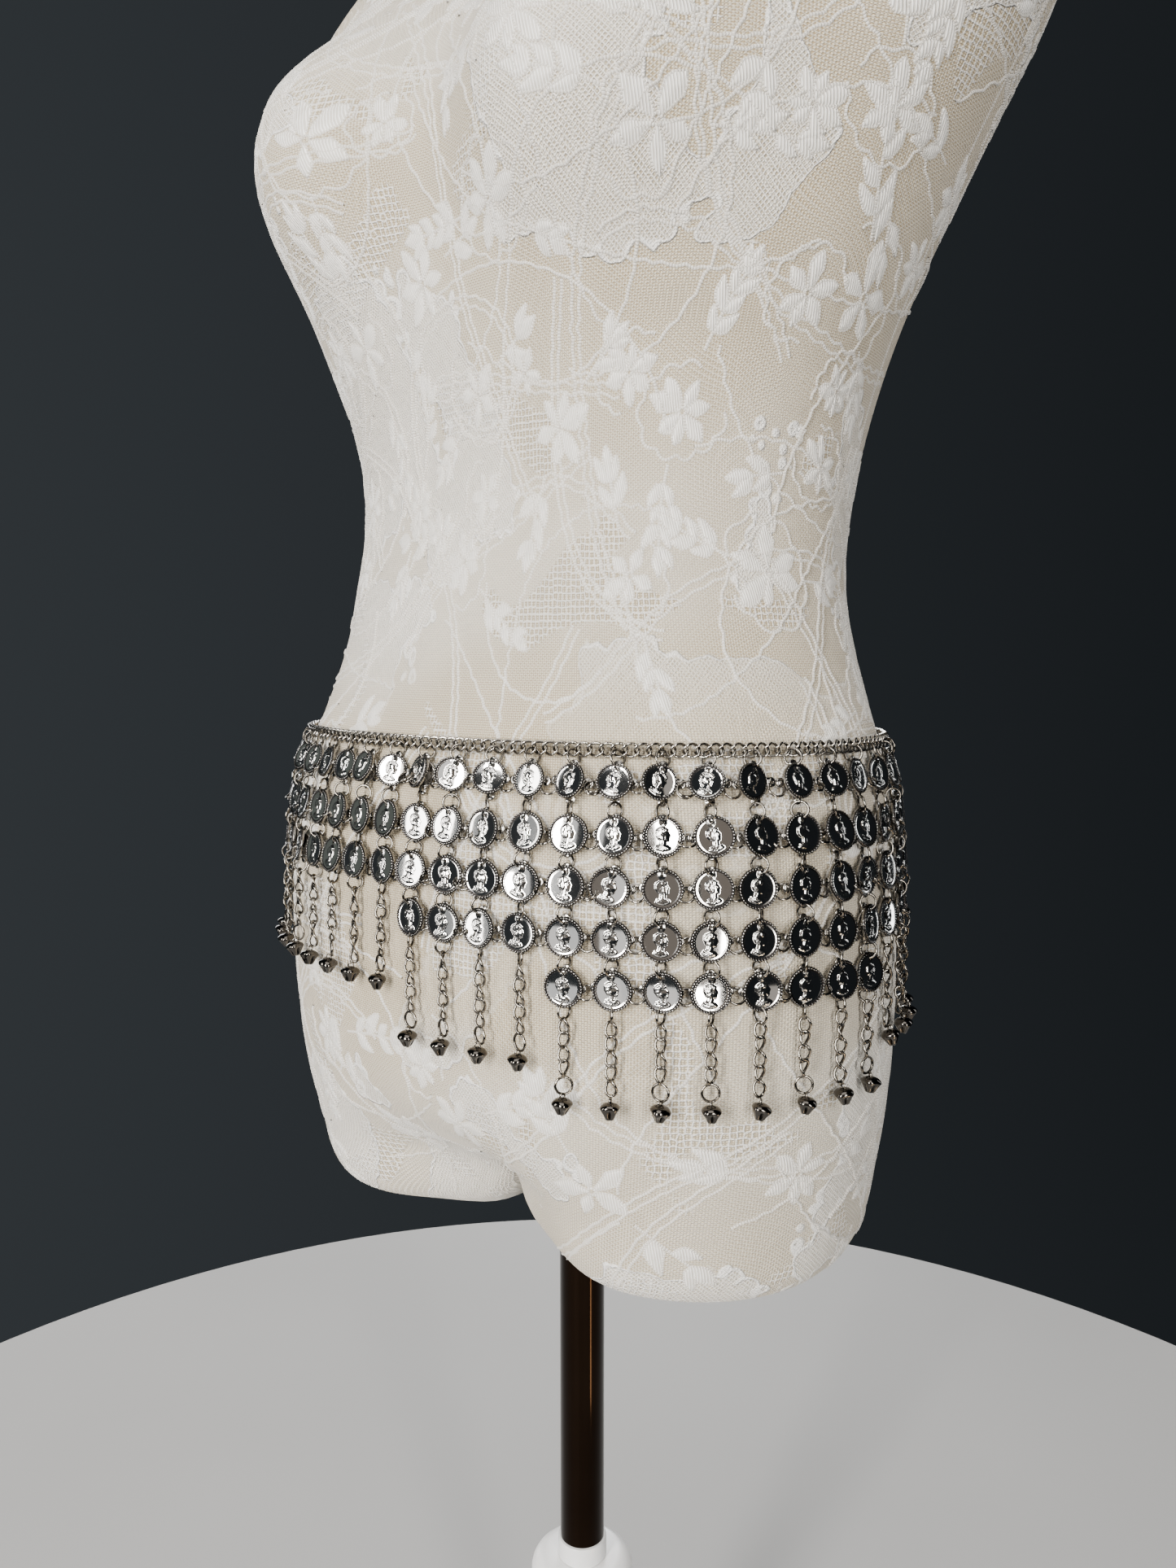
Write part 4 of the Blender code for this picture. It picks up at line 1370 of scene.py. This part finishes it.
def stand_profiles():
    """Name, profile from the top axis to the bottom axis, and material of each turned piece."""
    base_radius, base_top, crown = 0.140, 0.008, 0.014
    hub_z, hub_radius, hub_height = 0.165, 0.0265, 0.022
    hub_top = hub_z + hub_height
    seat = 0.0003
    sleeve_bottom = hub_top + seat
    sleeve_top = sleeve_bottom + 0.010
    sleeve_radius = 0.0126
    pole_top = CHAIN_Z + FORM_RINGS[0][0] + 0.050 - seat
    base = [(0, crown), (0.030, crown - 0.0006), (0.055, crown - 0.0016), (0.080, base_top + 0.003)]
    base += [(0.110, base_top + 0.0013), (0.134, base_top + 0.0001), (0.1372, base_top - 0.0003)]
    base += [(0.1391, base_top - 0.0014), (base_radius, base_top - 0.003), (base_radius, 0.0015)]
    base += [(0.1394, 0.0004), (0.1385, 0.0), (0, 0.0)]
    hub = [(0, hub_top)]
    rounding = ((0.70, 0.0001), (0.80, 0.0005), (0.88, 0.0014), (0.94, 0.0029), (0.98, 0.0048), (1.0, 0.0072))
    for share, depth in rounding + ((1.0, 0.0146), (0.975, 0.0170), (0.93, 0.0190), (0.86, 0.0204)):
        hub.append((share * hub_radius, hub_top - depth))
    hub += [(0.72 * hub_radius, hub_z), (0, hub_z)]
    sleeve = [(0, sleeve_top), (sleeve_radius - 0.0009, sleeve_top)]
    sleeve += [(sleeve_radius - 0.0003, sleeve_top - 0.0002), (sleeve_radius, sleeve_top - 0.0008)]
    sleeve += [(sleeve_radius, sleeve_bottom), (0, sleeve_bottom)]
    return (
        ("base_plate", base, "white"),
        ("lower_tube", rod(0.014, hub_z - seat, crown + seat), "chrome"),
        ("hub", hub, "white"),
        ("sleeve", sleeve, "clear"),
        ("pole", rod(0.0114, pole_top, sleeve_top + seat), "chrome"),
    )


def ride_as(obj, slot, *nodes):
    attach(obj, "root")
    if nodes:
        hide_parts(*nodes)


def add_form():
    """The form's cover and its lace, and a search tree of the part's form for the chain to hang on."""
    verts, faces = form_cage()
    cover = smooth_form(verts, faces, lace_material())
    ride_as(cover, "knit_lace", "form_torso")
    smooth = cover.evaluated_get(bpy.context.evaluated_depsgraph_get()).to_mesh()
    skin = BVHTree.FromPolygons([v.co for v in smooth.vertices], [tuple(p.vertices) for p in smooth.polygons])
    for motifs in add_lace(skin, thread_material()):
        ride_as(motifs, "knit_lace")
    return BVHTree.FromPolygons(verts, faces)


def add_net(tree, table, centre, metals):
    """The columns of coins, each with the rings that join it to the next."""
    count = len(ROWS_OF_COLUMNS)
    columns = [Column(tree, table, centre + (i - (count - 1) / 2) * COLUMN_PITCH) for i in range(count)]
    for i, column in enumerate(columns):
        pieces = Pieces()
        add_column(pieces, column, ROWS_OF_COLUMNS[i])
        if i + 1 < count:
            shared = min(ROWS_OF_COLUMNS[i], ROWS_OF_COLUMNS[i + 1])
            add_side_rings(pieces, column, columns[i + 1], shared)
        net_column = pieces.build(f"net_column_{i + 1:02d}", *metals)
        ride_as(net_column, "silver", f"coin_column_{i + 1:02d}")


def add_waist_chain(tree, table, opening, metals):
    """The curb chain, and the clasp and ring that close it."""
    slack = 0.0006
    clasp_start = opening - CLASP_LENGTH / 2
    clasp_end = opening + CLASP_LENGTH / 2
    chain_start = clasp_end + 2 * slack + 2 * END_RING_RADIUS - table[1][-1]
    chain_end = clasp_start - slack
    links = round((chain_end - chain_start) / LINK_PITCH)
    chain = Pieces()
    for i in range(links):
        length = chain_start + (chain_end - chain_start) * (i + 0.5) / links
        link_at = chain_frame(tree, table, length, WAIST_LINK_OUT)
        chain.add(WAIST_LINK, turned(link_at, 0, rng.gauss(0, 3)), CHAIN_METAL)
    ride_as(chain.build("curb_chain", *metals), "silver", "waist_chain")

    clasp = Pieces()
    clasp.add(clasp_shape(), chain_frame(tree, table, opening, CLASP_OUT), WIRE)
    loop_at = chain_frame(tree, table, clasp_start + 0.0010, SMALL_LOOP_OUT)
    clasp.add(SMALL_LOOP, loop_at, WIRE)
    ride_as(clasp.build("lobster_clasp", *metals), "silver", "clasp")
    ring = Pieces()
    ring_at = chain_frame(tree, table, clasp_end + slack + END_RING_RADIUS, SMALL_LOOP_OUT)
    ring.add(jump_ring(0.0031, 0.00055), ring_at, WIRE)
    ride_as(ring.build("closing_ring", *metals), "silver", "end_ring")


def add_stand():
    looks = {
        "chrome": chrome_material(),
        "white": plastic_material("white plastic", (0.82, 0.81, 0.80), 0.32),
        "clear": plastic_material("sleeve plastic", (0.70, 0.70, 0.70), 0.22),
    }
    for name, profile, look in stand_profiles():
        solid = Pieces()
        solid.add(lathe(profile))
        obj = solid.build(name + "_turned", looks[look])
        mark_sharp(obj.data)
        ride_as(obj, "chrome" if look == "chrome" else "white_plastic", name)


def main():
    metals = (
        silver_material("coin silver", (0.66, 0.645, 0.62), (0.018, 0.016, 0.015), 0.05, 0.34, True),
        silver_material("connector nickel", (0.40, 0.38, 0.35), (0.05, 0.046, 0.042), 0.10, 0.40),
        silver_material("ring wire", (0.23, 0.212, 0.185), (0.018, 0.016, 0.014), 0.12, 0.36),
        silver_material("bell steel", (0.092, 0.084, 0.075), (0.006, 0.0055, 0.005), 0.10, 0.42),
        silver_material("chain steel", (0.40, 0.375, 0.335), (0.016, 0.014, 0.012), 0.12, 0.36),
    )
    tree = add_form()
    table = guide_table()
    left_side = next(length for point, length in zip(*table) if point.y >= 0)
    centre = left_side - NET_CENTRE_FORWARD
    add_net(tree, table, centre, metals)
    add_waist_chain(tree, table, centre + table[1][-1] / 2, metals)
    add_stand()

    floor_mesh = bpy.data.meshes.new("floor")
    rim = [(x, y, 0.0) for x, y in circle_points(FLOOR_RADIUS, 128)]
    floor_mesh.from_pydata(rim, [], [tuple(range(128))])
    floor_mesh.materials.append(floor_material())
    floor = add_object("floor", floor_mesh)
    add_world()
    for row in LIGHTS:
        add_light(*row)
    add_light(*LOW_STRIP).visible_diffuse = False
    add_camera()


main()
